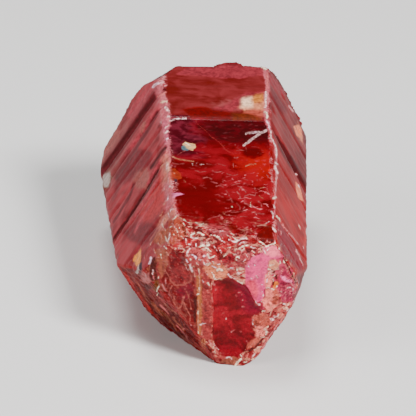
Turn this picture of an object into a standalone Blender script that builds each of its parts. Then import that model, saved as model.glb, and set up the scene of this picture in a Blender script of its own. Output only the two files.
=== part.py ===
"""A raw ruby crystal: one six-sided, slightly tapering crystal that lies on one long face.

The shape is worked out in the crystal's own frame, in millimetres: Y runs along its axis from the
blunt front end (near 0) to the broken back end, and X and Z run across it. The finished crystal is
then tipped so that its underside is level, set down on Z = 0 and scaled to metres.
"""

import math
import random

import bmesh
import bpy
from mathutils import Matrix, Vector

MM = 0.001
SEED = 11

# The long faces: degrees round the axis from straight up, and distance from the axis at the front end.
# They lean out by the taper, and each spans twice the half angle round the axis.
TAPER = 3.7
HALF_FACE_ANGLE = 30
LONG_FACES = {
    "top": (0, 4.18),
    "upper_left": (-60, 3.98),
    "upper_right": (60, 4.62),
    "lower_left": (-120, 4.58),
    "lower_right": (120, 3.98),
    "bottom": (180, 4.08),
}
LEFT_EDGE = ("upper_left", "top")
RIGHT_EDGE = ("top", "upper_right")
LEFT_WAIST = ("lower_left", "upper_left")
RIGHT_WAIST = ("upper_right", "lower_right")
LEFT_FOOT = ("bottom", "lower_left")
RIGHT_FOOT = ("lower_right", "bottom")

# Corners of the front end, and the three that each of its broad faces passes through.
BROW_LEFT = Vector((-2.60, 2.75, 4.26))
BROW_RIGHT = Vector((2.97, 0.87, 4.14))
RIB_TOP = Vector((-0.85, 0.50, 3.02))
RIB_FOOT = Vector((-0.04, 1.20, -3.27))
WINDOW_CORNER = Vector((1.46, 0.30, 2.82))
CHEEK_LEFT = Vector((-4.00, 2.40, 1.29))
CHEEK_RIGHT = Vector((4.71, 1.20, 1.23))
JAW_LEFT = Vector((-5.10, 5.50, -0.38))
JAW_RIGHT = Vector((4.75, 1.85, 0.60))
CHIN_SIDE = Vector((2.34, 0.70, -0.44))
CHIN = Vector((1.70, 1.40, -4.15))
WINDOW_FACE = (RIB_TOP, WINDOW_CORNER, CHIN)
FRONT_FACES = (
    (RIB_TOP, BROW_LEFT, BROW_RIGHT),
    (RIB_TOP, RIB_FOOT, CHEEK_LEFT),
    WINDOW_FACE,
    (WINDOW_CORNER, CHIN_SIDE, CHEEK_RIGHT),
    (CHIN_SIDE, CHIN, JAW_RIGHT),
    (RIB_FOOT, CHEEK_LEFT, JAW_LEFT),
)

# The clear window in the front end, sunk below its crust: its outline as X and Z, and its depth.
WINDOW_OUTLINE = (
    (-0.27, 1.63),
    (0.57, 1.90),
    (1.52, 1.35),
    (2.46, -0.27),
    (2.27, -1.80),
    (1.58, -3.30),
    (0.60, -3.50),
    (0.16, -2.90),
)
WINDOW_DEPTH = 0.20

# The breaks: a point on each and the direction that it faces.
BREAKS = (
    (Vector((-1.66, 19.06, 5.31)), Vector((-0.13, 0.97, 0.22))),
    (Vector((-1.66, 19.06, 5.31)), Vector((-0.04, 0.75, 0.66))),
    (Vector((-1.70, 19.16, 5.38)), Vector((-0.55, 0.32, 0.77))),
    (Vector((-5.90, 18.20, 0.00)), Vector((-0.55, 0.83, 0.05))),
    (Vector((-5.98, 17.40, -0.20)), Vector((-0.99, 0.12, 0.00))),
    (Vector((5.98, 19.46, 1.25)), Vector((0.58, 0.80, 0.06))),
    (Vector((0.50, 20.00, -1.80)), Vector((0.05, 0.93, -0.36))),
    (Vector((0.50, 19.00, -4.60)), Vector((0.10, 0.70, -0.70))),
    (Vector((-3.60, 19.00, -3.60)), Vector((-0.50, 0.60, -0.60))),
    (Vector((-2.73, 5.88, -4.34)), Vector((-0.60, -0.26, -0.75))),
    (Vector((5.05, 3.60, 0.90)), Vector((0.93, -0.36, -0.10))),
)

# The step across the top face: its place along it, its height, and where the lower part starts.
LEDGE_ALONG = 13.5
LEDGE_DEPTH = 0.14
LEDGE_START = -2.0

# Growth marks that run round the crystal: face, place along it, depth, half-width, lean in degrees.
GROOVES = (
    ("upper_left", 16.4, 0.34, 0.50, 2),
    ("upper_left", 14.8, 0.24, 0.30, 1),
    ("upper_left", 12.9, 0.10, 0.45, -2),
    ("upper_left", 11.2, 0.12, 0.30, 1),
    ("upper_left", 9.2, 0.32, 0.34, 12),
    ("upper_left", 8.1, 0.14, 0.22, 3),
    ("upper_left", 5.0, 0.16, 0.30, -3),
    ("upper_right", 16.6, 0.16, 0.40, 0),
    ("upper_right", 12.9, 0.32, 0.60, -8),
    ("upper_right", 10.4, 0.10, 0.30, 3),
    ("upper_right", 4.4, 0.12, 0.30, 10),
    ("upper_right", 2.6, 0.10, 0.25, 4),
    ("top", 9.1, 0.05, 0.14, -4),
    ("top", 17.2, 0.06, 0.30, 2),
)

# A groove's foot, steep side and gentle side, as shares of its half-width.
GROOVE_FOOT = 0.6
GROOVE_STEEP = 1.6
GROOVE_GENTLE = 3.2

# The lower faces have grooves at even steps, each moved a little.
LOWER_FACES = ("lower_left", "lower_right")
LOWER_GROOVES = 9
LOWER_START = 3.5
LOWER_STEP = 1.75
LOWER_DRIFT = 0.5
LOWER_DEPTHS = (0.06, 0.3)
LOWER_HALVES = (0.2, 0.5)
LOWER_LEANS = (-6, 6)

# Pits: face, place across it, place along it, radius, depth.
PITS = (
    ("top", 2.55, 11.6, 0.42, 0.16),
    ("top", -2.20, 5.4, 0.42, 0.26),
    ("top", -2.25, 7.6, 0.30, 0.16),
    ("top", 2.60, 16.0, 0.55, 0.14),
    ("upper_left", 1.10, 4.8, 0.30, 0.24),
    ("upper_left", -1.40, 4.6, 0.32, 0.20),
    ("upper_left", -0.10, 10.6, 0.45, 0.12),
    ("upper_left", -3.00, 14.2, 0.60, 0.22),
    ("upper_right", 1.40, 18.2, 0.50, 0.16),
    ("upper_right", 1.00, 9.0, 0.45, 0.14),
    ("lower_left", 0.80, 9.0, 0.70, 0.24),
    ("lower_left", -1.20, 14.5, 0.55, 0.20),
    ("lower_right", 0.60, 12.0, 0.65, 0.22),
    ("lower_right", -0.90, 6.0, 0.50, 0.18),
)

# Chipped long edges: the edge, where the chips start and end along it, how many there are, their size.
CHIPPED_EDGES = (
    (LEFT_EDGE, 3.4, 17.2, 17, 0.26),
    (RIGHT_EDGE, 1.6, 18.8, 19, 0.26),
    (LEFT_WAIST, 6.0, 17.6, 10, 0.34),
    (RIGHT_WAIST, 2.6, 19.0, 10, 0.30),
    (LEFT_FOOT, 6.4, 19.0, 8, 0.40),
    (RIGHT_FOOT, 2.2, 19.2, 8, 0.40),
)

# Chipped edges of the front end: from corner to corner, how many chips there are, their size.
FRONT_EDGES = (
    (BROW_LEFT, BROW_RIGHT, 14, 0.34),
    (BROW_LEFT, CHEEK_LEFT, 7, 0.28),
    (CHEEK_LEFT, JAW_LEFT, 5, 0.30),
    (RIB_TOP, WINDOW_CORNER, 5, 0.26),
    (WINDOW_CORNER, BROW_RIGHT, 4, 0.24),
    (WINDOW_CORNER, CHIN_SIDE, 4, 0.24),
    (BROW_RIGHT, CHEEK_RIGHT, 7, 0.26),
    (CHIN_SIDE, CHIN, 7, 0.26),
    (RIB_FOOT, CHIN, 3, 0.24),
)

# Broken hollows: the place deep inside that they spread from, the way they lie, how widely they spread,
# how many there are, and their smallest and largest radius.
BACK_HEART = Vector((0.0, 14.5, 0.0))
FRONT_HEART = Vector((0.3, 5.0, 0.3))
HOLLOWS = (
    (BACK_HEART, Vector((0.0, 1.0, 0.0)), 1.1, 22, 0.6, 1.3),
    (FRONT_HEART, Vector((0.1, -0.8, 0.75)), 0.5, 16, 0.35, 0.6),
    (FRONT_HEART, Vector((0.0, -1.0, 0.0)), 0.8, 18, 0.30, 0.6),
)

# The small stones whose shapes are bitten out: how many corners each has, and how flat it is (1 is round).
PIT_CORNERS = 14
PIT_SQUASH = 0.8
CHIP_CORNERS = 9
CHIP_SQUASH = 0.75
HOLLOW_CORNERS = 10
HOLLOW_SQUASH = 0.65

# How chips vary: where each lies in its own stretch of edge, its size, and how far out its middle is, both
# as shares. A hollow's middle is always the same share of its radius above the surface.
CHIP_PLACES = (0.1, 0.9)
CHIP_SIZES = (0.7, 1.5)
CHIP_HEIGHTS = (0.2, 0.6)
HOLLOW_HEIGHT = 0.4

# How much is worn off the long edges, how far a cutter stands out past what it cuts, the block that the
# plain form is cut from, and how near to a cutting plane a corner counts as lying on it.
WEAR = 0.10
CLEAR = 0.6
BLOCK_SIZE = 80.0
ON_PLANE = 1e-5

RUBY_RED = (0.36, 0.012, 0.022, 1.0)
RUBY_ROUGHNESS = 0.28


def outward(face):
    """The direction that a long face looks in."""
    around = math.radians(LONG_FACES[face][0])
    lean = math.radians(TAPER)
    return Vector((math.sin(around) * math.cos(lean), -math.sin(lean), math.cos(around) * math.cos(lean)))


def on_face(face, across, along, height=0.0):
    """A point on a long face, or above it by a height."""
    around = math.radians(LONG_FACES[face][0])
    normal = outward(face)
    sideways = Vector((math.cos(around), 0.0, -math.sin(around)))
    lengthways = normal.cross(sideways)
    start = normal * LONG_FACES[face][1]
    return start + sideways * across + lengthways * along + normal * height


def on_edge(edge, along):
    """The point of the edge between two long faces at a distance along the axis."""
    first, second = (outward(face) for face in edge)
    first_gap, second_gap = (LONG_FACES[face][1] - outward(face).y * along for face in edge)
    scale = first.x * second.z - first.z * second.x
    x = (first_gap * second.z - second_gap * first.z) / scale
    z = (first.x * second_gap - second.x * first_gap) / scale
    return Vector((x, along, z))


def reach_across(face):
    """How far a groove's ends lie from the middle of a long face, to run past both of its edges."""
    half_width_at_front = LONG_FACES[face][1] * math.tan(math.radians(HALF_FACE_ANGLE))
    widening = 2 * CLEAR
    return half_width_at_front + widening + CLEAR


def slice_off(shape, point, normal):
    """Cuts away all that is beyond a plane and closes the cut."""
    parts = shape.verts[:] + shape.edges[:] + shape.faces[:]
    cut = bmesh.ops.bisect_plane(
        shape, geom=parts, dist=ON_PLANE, plane_co=point, plane_no=normal, clear_outer=True
    )
    rim = [item for item in cut["geom_cut"] if isinstance(item, bmesh.types.BMEdge)]
    if rim:
        bmesh.ops.contextual_create(shape, geom=rim)


def front_normal(corners):
    """The outward direction of a front face."""
    first, second, third = corners
    normal = (second - first).cross(third - first).normalized()
    return normal if normal.y < 0 else -normal


def plain_form():
    """The crystal's flat faces with nothing on them, and worn edges between the long ones."""
    shape = bmesh.new()
    bmesh.ops.create_cube(shape, size=BLOCK_SIZE)
    for face, (_, distance) in LONG_FACES.items():
        slice_off(shape, outward(face) * distance, outward(face))
    for corners in FRONT_FACES:
        slice_off(shape, corners[0], front_normal(corners))
    for point, direction in BREAKS:
        slice_off(shape, point, direction.normalized())
    for edge, *_ in CHIPPED_EDGES:
        between = (outward(edge[0]) + outward(edge[1])).normalized()
        slice_off(shape, on_edge(edge, 0.0) - between * WEAR, between)
    return shape


def mesh_object(name, shape, group):
    """Puts a shape in the scene as an object of its own."""
    bmesh.ops.recalc_face_normals(shape, faces=shape.faces[:])
    mesh = bpy.data.meshes.new(name)
    shape.to_mesh(mesh)
    shape.free()
    made = bpy.data.objects.new(name, mesh)
    group.objects.link(made)
    return made


def cutter(points, group):
    """A hidden solid with flat faces round some points, to be cut from the crystal."""
    shape = bmesh.new()
    for point in points:
        shape.verts.new(point)
    hull = bmesh.ops.convex_hull(shape, input=shape.verts[:])
    bmesh.ops.delete(shape, geom=hull["geom_interior"], context="VERTS")
    made = mesh_object("cutter", shape, group)
    made.hide_render = True
    made.display_type = "WIRE"


def ledge(group):
    """The slab above the lower terrace of the top face, which ends in a small cliff across it."""
    reach = reach_across("top")
    points = []
    for across in (-reach, reach):
        points.append(on_face("top", across, LEDGE_ALONG, -LEDGE_DEPTH))
        points.append(on_face("top", across, LEDGE_ALONG + LEDGE_DEPTH + CLEAR, CLEAR))
        points.append(on_face("top", across, LEDGE_START, -LEDGE_DEPTH))
        points.append(on_face("top", across, LEDGE_START, CLEAR))
    cutter(points, group)


def groove(face, along, depth, half, lean, group):
    """A growth groove right across a long face: a wedge with a steep front side and a gentle back."""
    reach = reach_across(face)
    drift = math.tan(math.radians(lean)) * reach
    points = []
    for side in (-1, 1):
        middle = along + side * drift
        points.append(on_face(face, side * reach, middle, -depth))
        points.append(on_face(face, side * reach, middle - half * GROOVE_STEEP, CLEAR))
        points.append(on_face(face, side * reach, middle + half * GROOVE_GENTLE, CLEAR))
        points.append(on_face(face, side * reach, middle - half * GROOVE_FOOT, 0.0))
    cutter(points, group)


def blunt_stone(centre, radius, corners, squash, direction, dice):
    """Points scattered on a squashed ball, whose hull is a small many-faceted stone."""
    turn = direction.to_track_quat("Z", "Y")
    points = []
    for _ in range(corners):
        way = Vector([dice.uniform(-1, 1) for _ in range(3)]).normalized()
        way.z *= squash
        points.append(centre + turn @ (way * radius))
    return points


def pit(face, across, along, radius, depth, dice, group):
    """A shallow broken hollow in a long face."""
    centre = on_face(face, across, along, radius * PIT_SQUASH - depth)
    cutter(blunt_stone(centre, radius, PIT_CORNERS, PIT_SQUASH, outward(face), dice), group)


def chip(point, away, size, dice, group):
    """A small bite out of an edge."""
    radius = size * dice.uniform(*CHIP_SIZES)
    centre = point + away * radius * dice.uniform(*CHIP_HEIGHTS)
    cutter(blunt_stone(centre, radius, CHIP_CORNERS, CHIP_SQUASH, away, dice), group)


def chips(dice, group):
    """Bites along the long edges and round the front end."""
    for edge, start, end, count, size in CHIPPED_EDGES:
        away = (outward(edge[0]) + outward(edge[1])).normalized()
        for index in range(count):
            along = start + (end - start) * (index + dice.uniform(*CHIP_PLACES)) / count
            chip(on_edge(edge, along) - away * WEAR, away, size, dice, group)
    for start, end, count, size in FRONT_EDGES:
        for index in range(count):
            point = start.lerp(end, (index + dice.uniform(*CHIP_PLACES)) / count)
            away = (point - FRONT_HEART).normalized()
            chip(point, away, size, dice, group)


def window(group):
    """The clear window, sunk a little so that a rib stands up on its left."""
    corner = WINDOW_FACE[0]
    normal = front_normal(WINDOW_FACE)
    points = []
    for x, z in WINDOW_OUTLINE:
        y = corner.y - (normal.x * (x - corner.x) + normal.z * (z - corner.z)) / normal.y
        points.append(Vector((x, y, z)) - normal * WINDOW_DEPTH)
        points.append(Vector((x, y, z)) + normal * CLEAR)
    cutter(points, group)


def surface_along(origin, direction, walls):
    """How far a ray from inside the crystal goes before it meets the nearest of some planes."""
    nearest = math.inf
    for point, normal in walls:
        facing = direction.dot(normal)
        if facing > 0:
            nearest = min(nearest, (point - origin).dot(normal) / facing)
    return nearest


def hollows(heart, aim, spread, count, smallest, largest, dice, group):
    """Broken hollows scattered over one end, where rays from inside it come out."""
    walls = [(corners[0], front_normal(corners)) for corners in FRONT_FACES]
    walls += BREAKS
    walls += [(outward(face) * distance, outward(face)) for face, (_, distance) in LONG_FACES.items()]
    for _ in range(count):
        stray = Vector([dice.uniform(-spread, spread) for _ in range(3)])
        away = (aim + stray).normalized()
        point = heart + away * surface_along(heart, away, walls)
        radius = dice.uniform(smallest, largest)
        centre = point + away * radius * HOLLOW_HEIGHT
        cutter(blunt_stone(centre, radius, HOLLOW_CORNERS, HOLLOW_SQUASH, away, dice), group)


def lower_grooves(dice, group):
    """Growth grooves across the two faces that lean in under the crystal."""
    for face in LOWER_FACES:
        for index in range(LOWER_GROOVES):
            along = LOWER_START + index * LOWER_STEP + dice.uniform(-LOWER_DRIFT, LOWER_DRIFT)
            depth = dice.uniform(*LOWER_DEPTHS)
            half = dice.uniform(*LOWER_HALVES)
            groove(face, along, depth, half, dice.uniform(*LOWER_LEANS), group)


def cutters(group):
    """Every hidden solid that is cut from the plain form."""
    dice = random.Random(SEED)
    ledge(group)
    window(group)
    for mark in GROOVES:
        groove(*mark, group)
    lower_grooves(dice, group)
    for hollow in PITS:
        pit(*hollow, dice, group)
    chips(dice, group)
    for scatter in HOLLOWS:
        hollows(*scatter, dice, group)


def ruby():
    """Deep pinkish red with a satin surface."""
    material = bpy.data.materials.new("ruby")
    material.use_nodes = True
    shader = material.node_tree.nodes["Principled BSDF"]
    shader.inputs["Base Color"].default_value = RUBY_RED
    shader.inputs["Roughness"].default_value = RUBY_ROUGHNESS
    shader.inputs["Metallic"].default_value = 0.0
    return material


def set_down(mesh):
    """Levels the underside, rests it on the ground over the origin and scales it to metres."""
    mesh.transform(Matrix.Rotation(math.radians(TAPER), 4, "X"))
    lows = [min(vertex.co[axis] for vertex in mesh.vertices) for axis in range(3)]
    highs = [max(vertex.co[axis] for vertex in mesh.vertices) for axis in range(3)]
    middle = Vector(((lows[0] + highs[0]) / 2, (lows[1] + highs[1]) / 2, lows[2]))
    mesh.transform(Matrix.Translation(-middle))
    mesh.transform(Matrix.Scale(MM, 4))


def carve(body, group):
    """Cuts all the hidden solids from the crystal, and removes them."""
    cut = body.modifiers.new("growth and breakage", "BOOLEAN")
    cut.operation = "DIFFERENCE"
    cut.operand_type = "COLLECTION"
    cut.collection = group
    cut.solver = "EXACT"
    bpy.context.view_layer.update()
    graph = bpy.context.evaluated_depsgraph_get()
    carved = bpy.data.meshes.new_from_object(body.evaluated_get(graph))
    body.modifiers.clear()
    body.data = carved
    for helper in list(group.objects):
        bpy.data.objects.remove(helper)
    bpy.data.collections.remove(group)


def crystal(scene):
    """The whole crystal as one solid."""
    group = bpy.data.collections.new("cutters")
    scene.collection.children.link(group)
    body = mesh_object("ruby_crystal", plain_form(), scene.collection)
    cutters(group)
    carve(body, group)
    set_down(body.data)
    body.data.materials.clear()
    body.data.materials.append(ruby())


def main():
    """Empties the scene and builds the crystal in it."""
    for old in list(bpy.data.objects):
        bpy.data.objects.remove(old)
    crystal(bpy.context.scene)


main()
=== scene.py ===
"""The finished look of the raw ruby crystal, on a pale floor in soft light."""

import math

import bmesh
import bpy
import numpy as np
from mathutils import Matrix, Vector


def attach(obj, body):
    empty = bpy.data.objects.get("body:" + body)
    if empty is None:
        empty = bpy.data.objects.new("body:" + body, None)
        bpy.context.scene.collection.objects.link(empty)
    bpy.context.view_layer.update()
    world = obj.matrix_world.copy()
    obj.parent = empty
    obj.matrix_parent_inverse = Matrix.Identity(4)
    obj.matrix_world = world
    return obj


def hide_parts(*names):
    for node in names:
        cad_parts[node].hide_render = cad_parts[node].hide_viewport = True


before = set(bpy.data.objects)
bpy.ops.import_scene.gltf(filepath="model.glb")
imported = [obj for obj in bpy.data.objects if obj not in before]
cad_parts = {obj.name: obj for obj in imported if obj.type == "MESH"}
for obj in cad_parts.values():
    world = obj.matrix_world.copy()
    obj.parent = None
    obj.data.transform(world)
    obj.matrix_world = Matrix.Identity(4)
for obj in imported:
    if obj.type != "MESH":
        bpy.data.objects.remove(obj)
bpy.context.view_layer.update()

NODE = "ruby_crystal"
MM = 0.001

# The crystal's own frame, in millimetres: Y runs along its axis from the blunt front end to the broken
# back end. It lies tipped by its taper, and these are its axis's places in the shared frame.
TAPER = 3.7
AXIS_HEIGHT = 4.08
BACK_FROM_ORIGIN = 10.381
SIDE_FROM_ORIGIN = 0.114
LONG_FACES = {
    "top": (0, 4.18),
    "upper_left": (-60, 3.98),
    "upper_right": (60, 4.62),
    "lower_left": (-120, 4.58),
    "lower_right": (120, 3.98),
    "bottom": (180, 4.08),
}

# Corners of the front end, and the broad faces through them.
BROW_LEFT = (-2.60, 2.75, 4.26)
BROW_RIGHT = (2.97, 0.87, 4.14)
RIB_TOP = (-0.85, 0.50, 3.02)
RIB_FOOT = (-0.04, 1.20, -3.27)
WINDOW_CORNER = (1.46, 0.30, 2.82)
CHEEK_LEFT = (-4.00, 2.40, 1.29)
CHEEK_RIGHT = (4.71, 1.20, 1.23)
JAW_LEFT = (-5.10, 5.50, -0.38)
JAW_RIGHT = (4.75, 1.85, 0.60)
CHIN_SIDE = (2.34, 0.70, -0.44)
CHIN = (1.70, 1.40, -4.15)
FRONT_FACES = {
    "brow": (RIB_TOP, BROW_LEFT, BROW_RIGHT),
    "cheek": (RIB_TOP, RIB_FOOT, CHEEK_LEFT),
    "window": (RIB_TOP, WINDOW_CORNER, CHIN),
    "temple": (WINDOW_CORNER, CHIN_SIDE, CHEEK_RIGHT),
    "jaw": (CHIN_SIDE, CHIN, JAW_RIGHT),
    "under": (RIB_FOOT, CHEEK_LEFT, JAW_LEFT),
}

# Where the back end is along the axis, and how much a surface has to look that way to be part of it.
BACK_PLACE = 18.9
BACK_LEAN = 0.3
HIDDEN_FACES = ("lower_left", "lower_right", "bottom", "back")

# The view. Angles are in degrees, and the lens and its sensor are in millimetres.
CAMERA_TARGET = Vector((-0.066, 1.195, 4.829)) * MM
CAMERA_DISTANCE = 160 * MM
CAMERA_AZIMUTH = -4.32
CAMERA_ELEVATION = 26.01
CAMERA_ROLL = 3.28
CAMERA_LENS = 240.6
SENSOR = 36.0
PICTURE = 416

# How far the outlines of marks stray from their places, in the picture's units, and over what length, in
# millimetres.
PATCH_WANDER = 1.3
PATCH_WANDER_SIZE = 0.40
LINE_WANDER = 0.5
LINE_WANDER_SIZE = 0.30

# Flakes are drawn narrower than their listed widths, and with this softness.
FLAKE_WIDTH = 0.84
FLAKE_SOFTNESS = 1.7

# The mesh's grain in millimetres, and where it is halved: in front of one place along the axis, and near the
# top face's plane as far as another.
GRAIN = 0.134
FINE_FRONT = 3.2
FINE_TOP = 13.0
FINE_DEPTH = 0.30

# How far the worn rims reach from the two long top edges, in millimetres.
RIM_LEFT = 0.22
RIM_RIGHT = 0.15

# Heights of the relief, in millimetres.
SWELL = 0.03
GROWTH_STEP = 0.03
GROWTH_LINE = 0.010
SIDE_ROUGHNESS = 0.020
TOP_LINE = 0.003
BITE_NEAR = 0.34
BITE_FAR = 0.12
CRUST_LUMP = 0.15
CRUST_CRUMB = 0.07
BACK_LUMP = 0.30
BACK_CRUMB = 0.08
FLAKE_HEIGHT = 0.05
WINDOW_SUNK = 0.06

# The studio, in metres, and its lights' powers in watts.
FLOOR_SIZE = 1.2
FLOOR_COLOUR = (0.72, 0.71, 0.70, 1.0)
FLOOR_ROUGHNESS = 0.7
SURROUND_COLOUR = (0.5, 0.5, 0.52, 1.0)
SURROUND_STRENGTH = 0.12
LIGHTS = (
    # name, place, size, power
    ("key", (0.17, -0.20, 0.24), 0.08, 2.3),
    ("fill", (-0.26, -0.14, 0.16), 0.18, 0.7),
    ("above", (-0.06, 0.02, 0.34), 0.14, 0.9),
)


# ---- Where things are --------------------------------------------------------------------------

def outward(face):
    """The direction that a long face looks in, in the crystal's own frame."""
    around = math.radians(LONG_FACES[face][0])
    lean = math.radians(TAPER)
    return np.array((math.sin(around) * math.cos(lean), -math.sin(lean), math.cos(around) * math.cos(lean)))


def planes():
    """Every broad face by name: its outward direction and its distance from the axis's start."""
    found = {face: (outward(face), distance) for face, (_, distance) in LONG_FACES.items()}
    for name, corners in FRONT_FACES.items():
        first, second, third = (np.array(corner) for corner in corners)
        normal = np.cross(second - first, third - first)
        normal /= np.linalg.norm(normal) * (1 if normal[1] < 0 else -1)
        found[name] = (normal, float(normal @ first))
    found["back"] = (np.array((0.0, 1.0, 0.0)), BACK_PLACE)
    return found


def lie_down():
    """The move from the crystal's own frame, in millimetres, to the shared frame, in metres."""
    turn = Matrix.Rotation(math.radians(TAPER), 4, "X")
    shift = Matrix.Translation((-SIDE_FROM_ORIGIN, -BACK_FROM_ORIGIN, AXIS_HEIGHT))
    return Matrix.Scale(MM, 4) @ shift @ turn


def view():
    """Where the view is taken from and which way up, in the shared frame."""
    azimuth = math.radians(CAMERA_AZIMUTH)
    elevation = math.radians(CAMERA_ELEVATION)
    back = Vector((
        math.sin(azimuth) * math.cos(elevation),
        -math.cos(azimuth) * math.cos(elevation),
        math.sin(elevation),
    ))
    level = back.to_track_quat("Z", "Y").to_matrix().to_4x4()
    place = Matrix.Translation(CAMERA_TARGET + back * CAMERA_DISTANCE)
    return place @ level @ Matrix.Rotation(math.radians(CAMERA_ROLL), 4, "Z")


def in_picture(points):
    """Where points of the crystal's own frame are in the picture: across and down."""
    to_view = np.array(view().inverted() @ lie_down())
    seen = points @ to_view[:3, :3].T + to_view[:3, 3]
    scale = PICTURE * CAMERA_LENS / SENSOR
    across = PICTURE / 2 - seen[:, 0] / seen[:, 2] * scale
    down = PICTURE / 2 + seen[:, 1] / seen[:, 2] * scale
    return np.stack((across, down), 1)


def from_segment(places, start, end):
    """How far places in the picture are from a straight segment."""
    run = np.subtract(end, start)
    offset = places - start
    share = np.clip((offset @ run) / (run @ run), 0, 1)
    return np.linalg.norm(offset - share[:, None] * run, axis=1)


def depth_inside(places, outline):
    """How far places in the picture lie inside an outline. It is below 0 outside it."""
    across, down = places.T
    away = np.full(len(places), np.inf)
    inside = np.zeros(len(places), bool)
    for (x0, y0), (x1, y1) in zip(outline, outline[1:] + outline[:1]):
        away = np.minimum(away, from_segment(places, (x0, y0), (x1, y1)))
        crosses = (y0 > down) != (y1 > down)
        inside ^= crosses & (across < x0 + (down - y0) * (x1 - x0) / ((y1 - y0) or 1))
    return np.where(inside, away, -away)


def depth_in_stroke(places, line, width):
    """How far places in the picture lie inside a stroke along a line. It is below 0 outside it."""
    away = np.full(len(places), np.inf)
    for start, end in zip(line, line[1:]):
        away = np.minimum(away, from_segment(places, start, end))
    return width / 2 - away


# ---- Noise on points ---------------------------------------------------------------------------

def ease(share):
    """A soft step from 0 to 1."""
    share = np.clip(share, 0, 1)
    return share * share * (3 - 2 * share)


def scramble(x, y, z, seed):
    """A repeatable number from 0 to 1 for each whole-number place."""
    mixed = x.astype(np.uint64) * np.uint64(73856093)
    mixed ^= y.astype(np.uint64) * np.uint64(19349663)
    mixed ^= z.astype(np.uint64) * np.uint64(83492791)
    mixed += np.uint64(seed * 2654435761 + 97)
    mixed ^= mixed >> np.uint64(13)
    mixed *= np.uint64(0x9E3779B97F4A7C15)
    mixed ^= mixed >> np.uint64(29)
    mixed *= np.uint64(0xBF58476D1CE4E5B9)
    mixed ^= mixed >> np.uint64(32)
    return (mixed & np.uint64(0xFFFFFF)).astype(float) / 0xFFFFFF


def smooth_noise(points, size, seed):
    """Soft noise from -1 to 1 with lumps of about a size, which is one number or one for each axis."""
    scaled = points / np.array(size)
    base = np.floor(scaled).astype(np.int64)
    soft = ease(scaled - base)
    total = np.zeros(len(points))
    for step in np.ndindex(2, 2, 2):
        weight = np.prod(np.abs(1 - np.array(step) - soft), axis=1)
        total += weight * scramble(*(base + step).T, seed)
    return total * 2 - 1


def layered_noise(points, size, seed, layers=3):
    """Noise with finer and fainter noise on top of it."""
    total = np.zeros(len(points))
    for layer in range(layers):
        total += smooth_noise(points, np.array(size) / 2 ** layer, seed + layer) / 2 ** layer
    return total / 1.75


def broken_facets(points, size, seed):
    """Small tilted facets, as broken stone has: a height for each point, about -0.5 to 0.5."""
    scaled = points / np.array(size)
    base = np.floor(scaled).astype(np.int64)
    nearest = np.full(len(points), np.inf)
    height = np.zeros(len(points))
    for step in np.ndindex(3, 3, 3):
        cell = base + np.array(step) - 1
        corner = np.stack([scramble(*cell.T, seed + k) for k in range(3)], 1)
        tilt = np.stack([scramble(*cell.T, seed + 3 + k) - 0.5 for k in range(3)], 1)
        offset = scaled - cell - corner
        away = np.linalg.norm(offset, axis=1)
        closer = away < nearest
        nearest = np.where(closer, away, nearest)
        height = np.where(closer, (offset * tilt).sum(1) * 1.6 + tilt[:, 0] * 0.5, height)
    return height


# ---- The crystal's surface ---------------------------------------------------------------------

def fine_mesh():
    """The crystal's solid as an even, fine mesh in its own frame, in millimetres."""
    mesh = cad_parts[NODE].data.copy()
    mesh.transform(lie_down().inverted())
    made = bpy.data.objects.new("ruby_crystal_surface", mesh)
    bpy.context.scene.collection.objects.link(made)
    remesh = made.modifiers.new("even grain", "REMESH")
    remesh.mode = "VOXEL"
    remesh.voxel_size = GRAIN
    graph = bpy.context.evaluated_depsgraph_get()
    even = bpy.data.meshes.new_from_object(made.evaluated_get(graph))
    made.modifiers.clear()
    made.data = even
    refine(even)
    return made


def refine(mesh):
    """Splits the faces of the front end and of the near part of the top into four."""
    normal, distance = planes()["top"]
    shape = bmesh.new()
    shape.from_mesh(mesh)
    fine = set()
    for point in shape.verts:
        below_top = distance - float(normal @ np.array(point.co))
        if point.co.y < FINE_FRONT or (below_top < FINE_DEPTH and point.co.y < FINE_TOP):
            fine.add(point)
    edges = [edge for edge in shape.edges if edge.verts[0] in fine and edge.verts[1] in fine]
    bmesh.ops.subdivide_edges(shape, edges=edges, cuts=1, use_grid_fill=True)
    bmesh.ops.triangulate(shape, faces=[face for face in shape.faces if len(face.verts) > 4])
    shape.to_mesh(mesh)
    shape.free()


def read(mesh, what):
    """The places or the normals of a mesh's points, as an array."""
    values = np.empty(len(mesh.vertices) * 3, np.float32)
    if what == "places":
        mesh.vertices.foreach_get("co", values)
    else:
        mesh.vertex_normals.foreach_get("vector", values)
    return values.reshape(-1, 3).astype(float)


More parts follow.
